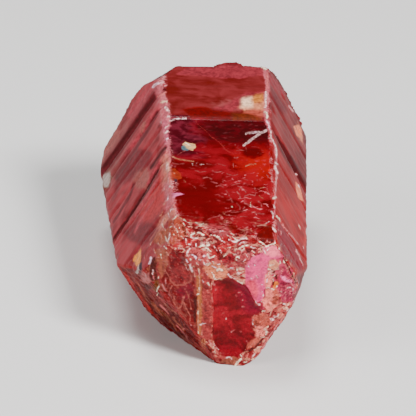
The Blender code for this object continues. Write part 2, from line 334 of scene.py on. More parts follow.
def survey(points, normals):
    """For each point, the shares of the broad faces and of what lies on them, and its depth below some."""
    walls = planes()
    names = list(walls)
    depths = np.stack([distance - points @ normal for normal, distance in walls.values()], 1)
    depths[normals[:, 1] < BACK_LEAN, names.index("back")] = np.inf
    ragged = np.stack([smooth_noise(points, 0.35, 40 + k) * 0.05 for k in range(len(names))], 1)
    nearest = np.argmin(depths + ragged, axis=1)
    below = dict(zip(names, depths.T))
    shares = {"on_" + name: (nearest == k).astype(float) for k, name in enumerate(names)}
    shares["sunk"] = np.clip(depths[np.arange(len(points)), nearest], 0, 1)
    shares["edge"] = np.sort(depths, axis=1)[:, 1]
    shares["near_top"] = below["top"]

    side = np.minimum(np.abs(below["upper_left"]), np.abs(below["upper_right"]))
    reach = np.where(points[:, 0] < 0, RIM_LEFT, RIM_RIGHT)
    shares["rim"] = np.exp(-np.hypot(below["top"], side) / reach)

    places = in_picture(points)
    front = (points[:, 1] < 3.0) & (shares["on_top"] + shares["on_brow"] < 0.5)
    wander = layered_noise(points, 0.5, 80) * 1.4
    shares["glass"] = ease((depth_inside(places, WINDOW_OUTLINE) + wander) / 2 + 0.5) * front
    pink = ease(depth_inside(places, PINK_OUTLINE) / 2 + 0.5) * front
    shares["crust"] = on_any(shares, FRONT_FACES) * (1 - shares["glass"]) * (1 - pink)
    calm = 0.75 * shares["on_cheek"] + 0.6 * shares["on_under"] + 0.5 * shares["on_temple"]
    calm += 0.35 * shares["on_window"]
    shares["crumbly"] = shares["crust"] * (1 - calm)
    return shares


def on_any(shares, faces):
    """The share of several broad faces together."""
    return sum(shares["on_" + face] for face in faces)


def relief(points, shares):
    """How far each point stands out from the plain solid, in millimetres."""
    sides = on_any(shares, ("upper_left", "upper_right", "lower_left", "lower_right"))
    height = (layered_noise(points, 2.4, 1) - 1) * SWELL
    warped = points[:, 1] + smooth_noise(points, 4.0, 5) * 0.12
    steps = warped / 1.3 + np.sin(warped * 1.7) * 0.5
    height += sides * (steps - np.floor(steps) - 0.5) * GROWTH_STEP
    height += sides * smooth_noise(points, (5.0, 0.30, 5.0), 7) * GROWTH_LINE
    height += sides * layered_noise(points, 0.9, 12) * SIDE_ROUGHNESS
    height += shares["on_top"] * smooth_noise(points, (4.0, 0.30, 4.0), 8) * TOP_LINE

    bites = np.clip(layered_noise(points, 0.42, 9) - 0.05, 0, 1)
    deepest = np.interp(points[:, 1], (12, 16), (BITE_NEAR, BITE_FAR))
    height -= np.exp(-shares["edge"] / 0.20) * bites * deepest

    crust = shares["crust"] * (0.6 + 0.4 * shares["on_brow"]) + 0.08 * shares["glass"]
    height += crust * broken_facets(points, (0.85, 0.55, 0.5), 20) * CRUST_LUMP
    height += crust * broken_facets(points, (0.40, 0.25, 0.20), 30) * CRUST_CRUMB
    height -= shares["glass"] * WINDOW_SUNK
    flakes = shares["flake"] * (1 - 0.7 * shares["on_top"])
    height += flakes * (0.6 + 0.8 * smooth_noise(points, 0.12, 15)) * FLAKE_HEIGHT

    height += shares["on_back"] * broken_facets(points, (1.6, 1.2, 1.3), 50) * BACK_LUMP
    height += shares["on_back"] * broken_facets(points, 0.5, 60) * BACK_CRUMB
    return height * (1 - shares["on_bottom"])


def tilt_away(normals, shares):
    """How far the finished surface leans away from its broad face: 0 flat, 1 from about 50 degrees."""
    lean = np.zeros(len(normals))
    for name, (normal, _) in planes().items():
        lean += shares["on_" + name] * (1 - normals @ normal)
    return np.clip(lean / 0.36, 0, 1)


def keep(mesh, name, values):
    """Stores one number, or one place, for each point of a mesh."""
    flat = np.asarray(values, np.float32)
    kind, slot = ("FLOAT", "value") if flat.ndim == 1 else ("FLOAT_VECTOR", "vector")
    mesh.attributes.new(name, kind, "POINT").data.foreach_set(slot, flat.ravel())


def shape_surface(mesh):
    """Raises the fine relief and stores what the material needs to know at each point."""
    points = read(mesh, "places")
    normals = read(mesh, "normals")
    shares = survey(points, normals)
    under, flakes = draw_marks(points, normals, on_any(shares, HIDDEN_FACES))
    shares["cover"] = under.cover
    shares["flake"] = flakes.cover
    moved = points + normals * relief(points, shares)[:, None]
    mesh.vertices.foreach_set("co", moved.astype(np.float32).ravel())
    mesh.update()
    shares["lean"] = tilt_away(read(mesh, "normals"), shares)
    keep(mesh, "place", points)
    keep(mesh, "cover_colour", under.colour)
    keep(mesh, "flake_colour", flakes.colour)
    for name, values in shares.items():
        keep(mesh, name, values)


def rest_flat(mesh):
    """Lifts the points that dip below the floor onto it."""
    for point in mesh.vertices:
        point.co.z = max(point.co.z, 0.0)


# ---- Marks on the side that the camera sees ------------------------------------------------------

# Places are across and down the camera's picture, in 416ths of its side, and widths and softnesses are in
# the same units. Colours are linear shares of red, green and blue.
CREAM_WHITE = (0.950, 0.740, 0.520)
FROST_WHITE = (0.950, 0.560, 0.540)
FROST_PINK = (0.800, 0.380, 0.370)
LILAC_WHITE = (0.920, 0.560, 0.680)
STRAND_PINK = (0.560, 0.110, 0.110)
STRAND_TAN = (0.620, 0.200, 0.110)
MILKY_RED = (0.230, 0.020, 0.026)
MILKY_PINK = (0.340, 0.040, 0.042)
TAN_RED = (0.270, 0.036, 0.018)
APRICOT = (0.640, 0.150, 0.070)
WINE = (0.095, 0.001, 0.001)
CHEEK_RED = (0.140, 0.001, 0.004)
WINE_PINK = (0.160, 0.003, 0.012)
MAUVE_RED = (0.235, 0.006, 0.014)
PATCH_PINK = (0.640, 0.040, 0.150)
PATCH_SALMON = (0.640, 0.036, 0.085)
PATCH_ROSE = (0.860, 0.130, 0.190)
SHELL_PINK = (0.880, 0.170, 0.130)
SHELL_ORANGE = (0.440, 0.066, 0.042)
AMBER = (0.640, 0.130, 0.010)
# painted shade in the small holes
HOLE_SHADE = (0.060, 0.004, 0.002)
TEMPLE_PINK = (0.330, 0.014, 0.050)
TEMPLE_DARK = (0.180, 0.001, 0.022)
# a painted highlight on the temple
TEMPLE_HIGHLIGHT = (0.900, 0.150, 0.330)
VEIN = (0.330, 0.062, 0.048)
VEIN_PINK = (0.230, 0.018, 0.020)
EARTH = (0.068, 0.003, 0.002)
OLIVE_GOLD = (0.145, 0.030, 0.003)
BARK = (0.290, 0.060, 0.032)
STONE_PINK = (0.340, 0.080, 0.075)
SHADE = (0.052, 0.002, 0.003)
SHADE_SOFT = (0.105, 0.008, 0.012)
LIGHT_ROSE = (0.340, 0.036, 0.050)
TAN_ROSE = (0.275, 0.066, 0.058)
SALMON = (0.350, 0.022, 0.026)
DUSKY = (0.140, 0.012, 0.017)
# a painted sheen on the far top and the upper right face
SHEEN_ROSE = (0.200, 0.018, 0.026)
GOLD_LEAF = (0.720, 0.230, 0.040)
PALE_GREY = (0.360, 0.280, 0.250)
INK = (0.020, 0.010, 0.020)
TEAL = (0.060, 0.110, 0.130)
STONE_CREAM = (0.560, 0.300, 0.130)
ORCHID_PINK = (0.560, 0.110, 0.250)
ORANGE_RED = (0.200, 0.016, 0.004)
STEP_CREAM = (0.800, 0.480, 0.310)
STEP_PEACH = (0.560, 0.180, 0.090)
STEP_ORANGE = (0.420, 0.130, 0.025)
TERRACOTTA = (0.290, 0.045, 0.030)
OCHRE = (0.100, 0.012, 0.002)
RIB_GOLD = (0.420, 0.110, 0.032)
RIB_RED = (0.300, 0.030, 0.030)
# painted sheen along the top edges
EDGE_SHEEN = (0.420, 0.085, 0.105)
ORCHID_SHEEN = (0.380, 0.070, 0.110)
EDGE_TAN = (0.440, 0.110, 0.085)
FAINT_RED = (0.170, 0.012, 0.012)
STREAK = (0.260, 0.062, 0.036)
# a painted glow at the outline, where light shines through
RIM_GLOW = (0.380, 0.020, 0.018)

# The clear window in the crust.
WINDOW_OUTLINE = (
    (214, 281.5), (221, 281.5), (226, 278), (232, 280.5), (236.5, 283), (246, 287), (252, 298),
    (255.5, 305.5), (260, 308), (260, 312.5), (252.5, 319), (251, 325), (257, 339), (255, 342), (248, 344),
    (244, 352), (238, 358.5), (231, 359.5), (221, 357), (214.5, 346), (211, 333), (213, 315), (213.5, 300),
    (212, 287),
)

# The smooth pink patch beside it.
PINK_OUTLINE = (
    (246, 286), (245.5, 277), (246, 269), (248, 263), (252, 258.5), (257, 255.5), (263, 252), (264, 248),
    (272, 244), (276, 244), (279, 250), (282, 257), (277, 259.5), (271, 259), (268, 262), (268, 270),
    (265, 276), (265, 284), (266, 290), (264.5, 297), (262, 301), (257, 303), (253, 299), (249, 292),
)

# Soft patches: colour, softness, outline.
PATCHES = (
    # the upper left face: its lighter and darker bands are painted light and shade on its tilted steps, and
    # the pale rose patch at its top is a painted sheen
    (LIGHT_ROSE, 9, ((150, 84), (160, 88), (157, 98), (146, 111), (136, 120), (126, 116), (133, 103),
        (142, 92))),
    (TAN_ROSE, 8, ((126, 104), (121, 116), (117, 128), (120, 134), (108, 153), (102, 164), (100, 150),
        (108, 136))),
    (LIGHT_ROSE, 8, ((160, 103), (152, 113), (144, 124), (135, 137), (125, 151), (122, 158), (138, 143),
        (150, 127))),
    (DUSKY, 11, ((126, 152), (140, 148), (152, 152), (150, 165), (138, 176), (120, 186), (112, 200),
        (116, 172))),
    (SALMON, 10, ((162, 168), (168, 176), (168, 200), (158, 214), (146, 222), (138, 214), (146, 198),
        (156, 182))),
    (DUSKY, 10, ((134, 222), (148, 222), (158, 226), (154, 240), (142, 246), (128, 240), (122, 232))),
    (TAN_ROSE, 6, ((136, 172), (147, 168), (149, 178), (146, 188), (136, 188), (133, 180))),
    (PALE_GREY, 3, ((104, 174), (110, 171), (110, 180), (108, 187), (103, 187), (101, 180))),
    (BARK, 4, ((156, 232), (168, 228), (169, 240), (160, 246), (153, 242))),
    (GOLD_LEAF, 1.2, ((140, 249), (141, 254), (140.5, 260), (138, 264), (135, 266), (133.5, 262),
        (132.5, 256), (136, 254))),
    # below the gold, a pale grey mark and a dark one: the gold's shadow, painted
    (PALE_GREY, 1.2, ((136, 266), (138.5, 265), (138, 275), (136, 273))),
    (INK, 1.5, ((139, 263), (142, 262), (141, 272), (139.5, 276), (138.5, 268))),
    # the far part of the top; its pale rose patches are a painted sheen
    (SHEEN_ROSE, 4, ((176, 74), (186, 67), (205, 64), (262, 64), (264, 74), (240, 78), (215, 77),
        (195, 75))),
    (SHEEN_ROSE, 6, ((212, 109), (226, 104), (238, 96), (246, 92), (264, 92), (264, 98), (244, 99),
        (240, 108), (230, 112))),
    (STEP_PEACH, 5, ((240, 106), (254, 103), (265, 102), (265, 110), (256, 110), (244, 110))),
    (TERRACOTTA, 4, ((246, 109), (258, 109), (266, 110), (263, 116), (255, 115), (244, 112))),
    (STEP_ORANGE, 4, ((251, 98), (256, 94), (263, 94), (263, 101), (254, 103))),
    (STEP_CREAM, 6, ((242, 98), (251, 97), (252, 107), (242, 107))),
    (OCHRE, 3, ((232, 112), (248, 113), (262, 117), (262, 120), (232, 120))),
    (WINE, 4, ((184, 108), (206, 107), (232, 112), (230, 119), (206, 117), (190, 119))),
    # the near part of the top
    (ORANGE_RED, 4, ((171, 168), (176, 168), (181, 173), (182, 178), (178, 180), (172, 181), (169, 175))),
    (INK, 1.2, ((173, 178), (177, 178), (178, 181), (175, 182))),
    (ORCHID_PINK, 1.2, ((168, 194), (173, 191.5), (180, 192), (184, 194), (177, 196), (172, 198),
        (167.5, 200.5))),
    (STONE_CREAM, 1, ((182, 144), (185, 140.5), (191, 142.5), (195, 143), (196, 146.5), (193, 150),
        (186, 148))),
    (TEAL, 1.2, ((181, 146), (184, 145), (187, 147), (190, 149), (187, 150), (182, 149))),
    # the upper right face; the pale rose patch near its top is a painted sheen
    (SHEEN_ROSE, 6, ((268, 72), (277, 80), (286, 92), (284, 97), (274, 86), (268, 82))),
    (SHADE_SOFT, 6, ((272, 88), (279, 96), (286, 106), (288, 114), (280, 110), (273, 100))),
    (SHADE, 3.5, ((273, 133), (279, 137), (286, 148), (296, 161), (306, 178), (308, 192), (300, 181),
        (290, 167), (281, 150))),
    (APRICOT, 2, ((294, 126), (299, 125), (302, 128), (302, 134), (300, 138), (297, 135))),
    (APRICOT, 2, ((296, 181), (300, 186), (302, 193), (304, 202), (299, 197), (296, 188))),
    (WINE_PINK, 3, ((277, 222), (283, 224), (291, 237), (298, 249), (303, 264), (303, 274), (294, 266),
        (284, 254), (278, 238))),
    # the brow
    (TAN_RED, 3, ((169, 219), (176, 217), (183, 220), (186, 227), (186, 234), (182, 241), (175, 244),
        (168, 242), (168, 228))),
    (MILKY_RED, 3, ((203, 224), (216, 225), (229, 226), (229, 234), (220, 237), (209, 233))),
    (WINE, 2, ((183, 224.5), (195, 225), (203, 227), (202, 231), (190, 230), (185, 228))),
    (MILKY_PINK, 4, ((184, 247), (196, 248), (207, 252), (216, 256), (221, 263), (216, 268), (204, 267),
        (190, 264))),
    (APRICOT, 4, ((203, 268), (214, 263), (224, 266), (228, 272), (226, 279), (217, 281), (208, 279),
        (202, 274))),
    (MILKY_RED, 3, ((236, 252), (246, 249), (259, 250), (262, 254), (254, 259), (247, 263), (245, 270),
        (238, 268), (234, 260))),
    (MAUVE_RED, 1.2, ((222, 258), (227, 255), (233, 256), (234, 261), (232, 267), (227, 269), (223, 265))),
    (WINE, 2, ((257, 232), (265, 226), (272, 223), (274, 232), (275, 240), (267, 244), (261, 240),
        (256, 237))),
    (WINE, 2, ((227, 225), (236, 224), (239, 229), (230, 231))),
    # the cheek
    (BARK, 3, ((156, 250), (163, 248), (168, 254), (166, 268), (161, 279), (157, 270), (156, 258))),
    (CHEEK_RED, 3, ((167, 257), (170, 252), (177, 249), (183, 252), (186, 259), (184, 267), (178, 265),
        (175, 270), (170, 268))),
    (VEIN_PINK, 4, ((170, 270), (178, 266), (187, 268), (191, 275), (192, 282), (186, 286), (177, 284),
        (170, 278))),
    (CHEEK_RED, 2, ((178, 277), (182, 274), (184, 280), (181, 284), (177, 281))),
    (WINE_PINK, 3, ((174, 292), (181, 287), (191, 283), (194, 289), (190, 299), (183, 300))),
    (CHEEK_RED, 2, ((176, 294), (180, 295), (181, 301), (179, 306), (176, 301))),
    (WINE, 3, ((163, 303), (171, 310), (181, 320), (190, 328), (187, 329), (178, 322), (168, 313),
        (161, 306))),
    (EARTH, 2.5, ((150, 259), (155, 257), (157, 268), (157, 280), (152, 281), (149, 272))),
    (OLIVE_GOLD, 2, ((153, 281), (158, 280), (159, 288), (156, 293), (153, 290))),
    (STONE_PINK, 3, ((141, 272), (149, 273), (151, 280), (148, 285), (140, 281))),
    (EARTH, 2, ((142, 283), (150, 285), (152, 290), (146, 291))),
    # the slanting lower left
    (WINE, 6, ((139, 286), (152, 299), (168, 312), (184, 326), (193, 338), (188, 345), (170, 332),
        (152, 314))),
    (VEIN_PINK, 5, ((188, 342), (200, 345), (214, 354), (212, 362), (200, 355), (190, 348))),
    # the rib, with a golden strip that is a painted highlight along its crest
    (RIB_RED, 3, ((193, 268), (204, 270), (211, 283), (212, 320), (211, 340), (200, 338), (199, 300),
        (194, 284))),
    (RIB_GOLD, 2.5, ((196, 276), (200.5, 276), (202, 300), (201, 320), (200, 336), (197, 334), (197, 300))),
    (EARTH, 2, ((193, 297), (196.5, 297), (196, 315), (196, 326), (193, 320))),
    # the pink patch, the shell-coloured strip and the hole beside it, whose dark spots are painted shade
    (SHELL_PINK, 3, ((265, 290), (275, 289), (277, 298), (276, 306), (270, 312), (264, 308), (262, 299))),
    (SHELL_ORANGE, 2, ((273, 290), (278, 289), (279, 298), (277, 305), (273, 304))),
    (PATCH_PINK, 2.4, PINK_OUTLINE),
    (PATCH_ROSE, 4, ((264, 249), (272, 245), (277, 246), (281, 256), (272, 257), (264, 254))),
    (PATCH_SALMON, 5, ((246, 282), (256, 280), (259, 292), (256, 301), (250, 294))),
    (SHELL_PINK, 2, ((266, 275), (270, 272), (273, 279), (271, 288), (266, 288), (265, 282))),
    (STRAND_TAN, 2, ((269, 262), (276, 260), (280, 264), (275, 270), (269, 270))),
    (HOLE_SHADE, 1.2, ((273, 272), (275.5, 270.5), (275, 273.5), (273.5, 275))),
    (HOLE_SHADE, 1.2, ((275, 276), (277.5, 275), (277, 280), (275.5, 280))),
    (AMBER, 1.2, ((274, 282), (277, 281.5), (279, 284), (277.5, 287), (275, 289), (273, 289))),
    (HOLE_SHADE, 1, ((272.5, 281.5), (274.3, 281), (274.3, 286), (272.5, 285.5))),
    # the temple
    (TEMPLE_PINK, 3, ((279, 266), (285, 266), (290, 276), (297, 285), (299, 296), (291, 303), (282, 303),
        (279, 290))),
    # a painted highlight
    (TEMPLE_HIGHLIGHT, 1.5, ((281, 276), (285, 277), (288, 280), (292, 281), (293, 284), (288, 283),
        (283, 280))),
    (TEMPLE_DARK, 1.5, ((281, 281), (285, 282.5), (288, 284), (284, 286.5), (280, 285))),
    (WINE, 2, ((293, 297), (296, 293), (297, 296), (294, 300))),
    # the jaw and the tip
    (SHELL_ORANGE, 5, ((252, 318), (259, 315), (267, 315), (271, 319), (268, 326), (261, 327), (253, 326))),
    (SHELL_PINK, 4.5, ((254, 327), (262, 327), (267, 332), (264, 337), (258, 337), (255, 333))),
    (SHELL_ORANGE, 4.5, ((257, 338), (262, 338), (261, 343), (256, 348), (249, 350), (245, 347),
        (249, 342))),
    (STREAK, 3, ((222, 360), (233, 357), (240, 360), (236, 366), (226, 367), (219, 363))),
)

# Soft lines that don't shine: colour, width, softness, line. The dark lines on the upper left face are
# painted shade in its grooves and the light rose ones painted light on the steps between; the pale rose and
# orchid lines by the top edges are a painted sheen, and the red lines along the outline a painted glow.
SOFT_LINES = (
    (SHADE_SOFT, 8, 5, ((158, 90), (147, 106), (135, 124), (126, 138), (115, 154), (103, 170))),
    (SHADE, 3, 3, ((157, 92), (146, 108), (133, 126), (125, 137), (114, 153), (103, 168))),
    (SHADE_SOFT, 3.5, 3, ((157, 112), (147, 130), (138, 144), (127, 162), (116, 178))),
    (SHADE, 2.2, 2.5, ((170, 142), (162, 150), (156, 159), (150, 168))),
    (SHADE, 2.6, 1.6, ((158, 170), (153, 178), (148, 188), (141, 199), (134, 209), (128, 219), (120, 229),
        (111, 241))),
    (SHADE_SOFT, 2.4, 2.2, ((134, 183), (129, 196), (121, 209), (113, 222))),
    (SHADE, 2.4, 1.4, ((167, 213), (163, 219), (158, 225))),
    (LIGHT_ROSE, 2.2, 2, ((166, 153), (160, 161), (152, 174), (147, 184))),
    (LIGHT_ROSE, 2.2, 2, ((157, 180), (149, 193), (140, 208), (132, 220))),
    (LIGHT_ROSE, 2, 2.5, ((152, 200), (144, 214), (134, 232))),
    (TAN_ROSE, 3, 2, ((144, 123), (141, 132))),
    (TAN_ROSE, 1.2, 1, ((157, 228), (153, 235), (150, 240))),
    (LILAC_WHITE, 1.4, 1.5, ((150.5, 257), (150, 262), (148.5, 264))),
    (BARK, 1.3, 1.2, ((137, 283), (141, 290), (148, 299), (154, 306), (162, 314))),
    (STRAND_PINK, 1.1, 1, ((160, 305), (165, 310), (168, 314))),
    (STREAK, 0.8, 1.2, ((143, 294), (147, 301), (153, 307), (159, 314))),
    (STREAK, 0.8, 1.2, ((150, 300), (156, 308), (162, 316))),
    (OLIVE_GOLD, 1.4, 1.5, ((160, 311), (167, 318), (173, 326))),
    (STREAK, 1, 1.2, ((167, 316), (172, 324), (177, 331))),
    (STREAK, 1.1, 1.2, ((173, 318), (178, 324), (184, 330))),
    (STREAK, 0.9, 1.2, ((163, 303), (169, 308), (176, 315))),
    (STREAK, 0.9, 1.2, ((178, 333), (185, 340), (193, 346))),
    (STREAK, 1.2, 1.2, ((193, 344), (199, 349), (206, 354))),
    (MILKY_RED, 1.6, 2, ((150, 290), (158, 297), (164, 303))),
    (STRAND_PINK, 1.2, 1.2, ((176, 326), (181, 330), (184, 334))),
    (STONE_PINK, 2.4, 1.5, ((186, 336), (186, 340))),
    # painted glow along the lower left outline, where light shines through
    (RIM_GLOW, 1.6, 1.6, ((124, 273), (135, 289), (147, 306), (158, 321))),
    (EARTH, 1.4, 1.5, ((146, 298), (151, 303))),
    (VEIN, 1.3, 1, ((170, 252), (166, 256), (163, 258), (162.5, 266))),
    (VEIN, 1.2, 1, ((166, 258), (167, 262), (169, 265))),
    (VEIN, 1.3, 1, ((163, 265), (165, 271), (168, 277), (171, 282), (176, 286), (184, 285), (191, 281))),
    (VEIN, 1.4, 1, ((174, 297), (174.5, 304), (178, 309), (181, 307), (183, 300), (184.5, 296))),
    (VEIN, 1.3, 1.2, ((184, 303), (187, 311), (190, 317), (190, 323))),
    (VEIN, 1.2, 1.2, ((186, 262), (190, 270), (191, 280))),
    (VEIN, 1.1, 1.2, ((172, 286), (169, 292), (171, 299), (174, 303))),
    (VEIN_PINK, 1.4, 1.4, ((158, 262), (156, 270), (159, 279), (165, 288), (170, 297))),
    (VEIN, 1, 1.2, ((186, 292), (189, 300), (191, 310))),
    (VEIN_PINK, 2, 1.5, ((160, 298), (168, 303), (172, 308), (175, 312))),
    (VEIN_PINK, 1.6, 1.5, ((170, 271), (176, 271), (183, 272))),
    (SHADE, 1.8, 1.5, ((284, 258), (288, 266), (291, 273), (297, 283))),
    (TEMPLE_DARK, 1.4, 1.2, ((264.8, 290), (264.8, 297), (263.5, 299))),
    (WINE, 1.8, 1.2, ((197, 235.8), (206, 236.5))),
    (WINE, 1.6, 1.2, ((238, 241.5), (243, 239.3), (248, 240))),
    (WINE, 1.6, 1.2, ((246, 248), (251, 249.5), (256, 248.5))),
    (WINE, 2, 1.5, ((210, 246), (215, 249), (218, 254))),
    (WINE, 1.8, 1.2, ((206, 347), (211, 352))),
    (WINE, 2.2, 2, ((250, 352), (258, 346), (266, 336))),
    # painted glow along the lower and right outlines, where light shines through
    (RIM_GLOW, 2.2, 2, ((203, 357), (213, 365), (226, 368), (241, 367), (252, 361))),
    (RIM_GLOW, 2, 2, ((308, 190), (309, 204), (308, 222), (305, 246))),
    (FAINT_RED, 0.8, 1.4, ((213, 137), (219, 142), (226, 149), (233, 153))),
    (FAINT_RED, 0.6, 1.4, ((193, 118), (199, 125), (206, 131), (213, 138))),
    # painted sheen over the frosted top edges, in pale rose and orchid
    (EDGE_SHEEN, 7, 7, ((158, 88), (163, 100), (166, 112), (167, 124))),
    (ORCHID_SHEEN, 5, 6, ((165, 122), (166, 132), (167, 142))),
    (EDGE_SHEEN, 3, 4, ((168, 142), (169, 152), (169, 160))),
    (EDGE_TAN, 8, 6, ((165, 158), (166, 172), (166, 186))),
    (STEP_CREAM, 2, 3, ((167, 163), (167.5, 170))),
    (EDGE_SHEEN, 8, 6, ((167, 186), (170, 200), (169, 214))),
    (EDGE_TAN, 7, 5, ((160, 226), (164, 219), (172, 212))),
    (EDGE_SHEEN, 4, 4, ((265, 68), (268, 82), (267, 98), (266, 112), (269, 128))),
    (EDGE_SHEEN, 1.6, 2.5, ((271, 132), (275, 145), (277, 158), (277, 175), (276, 192), (275, 214))),
)
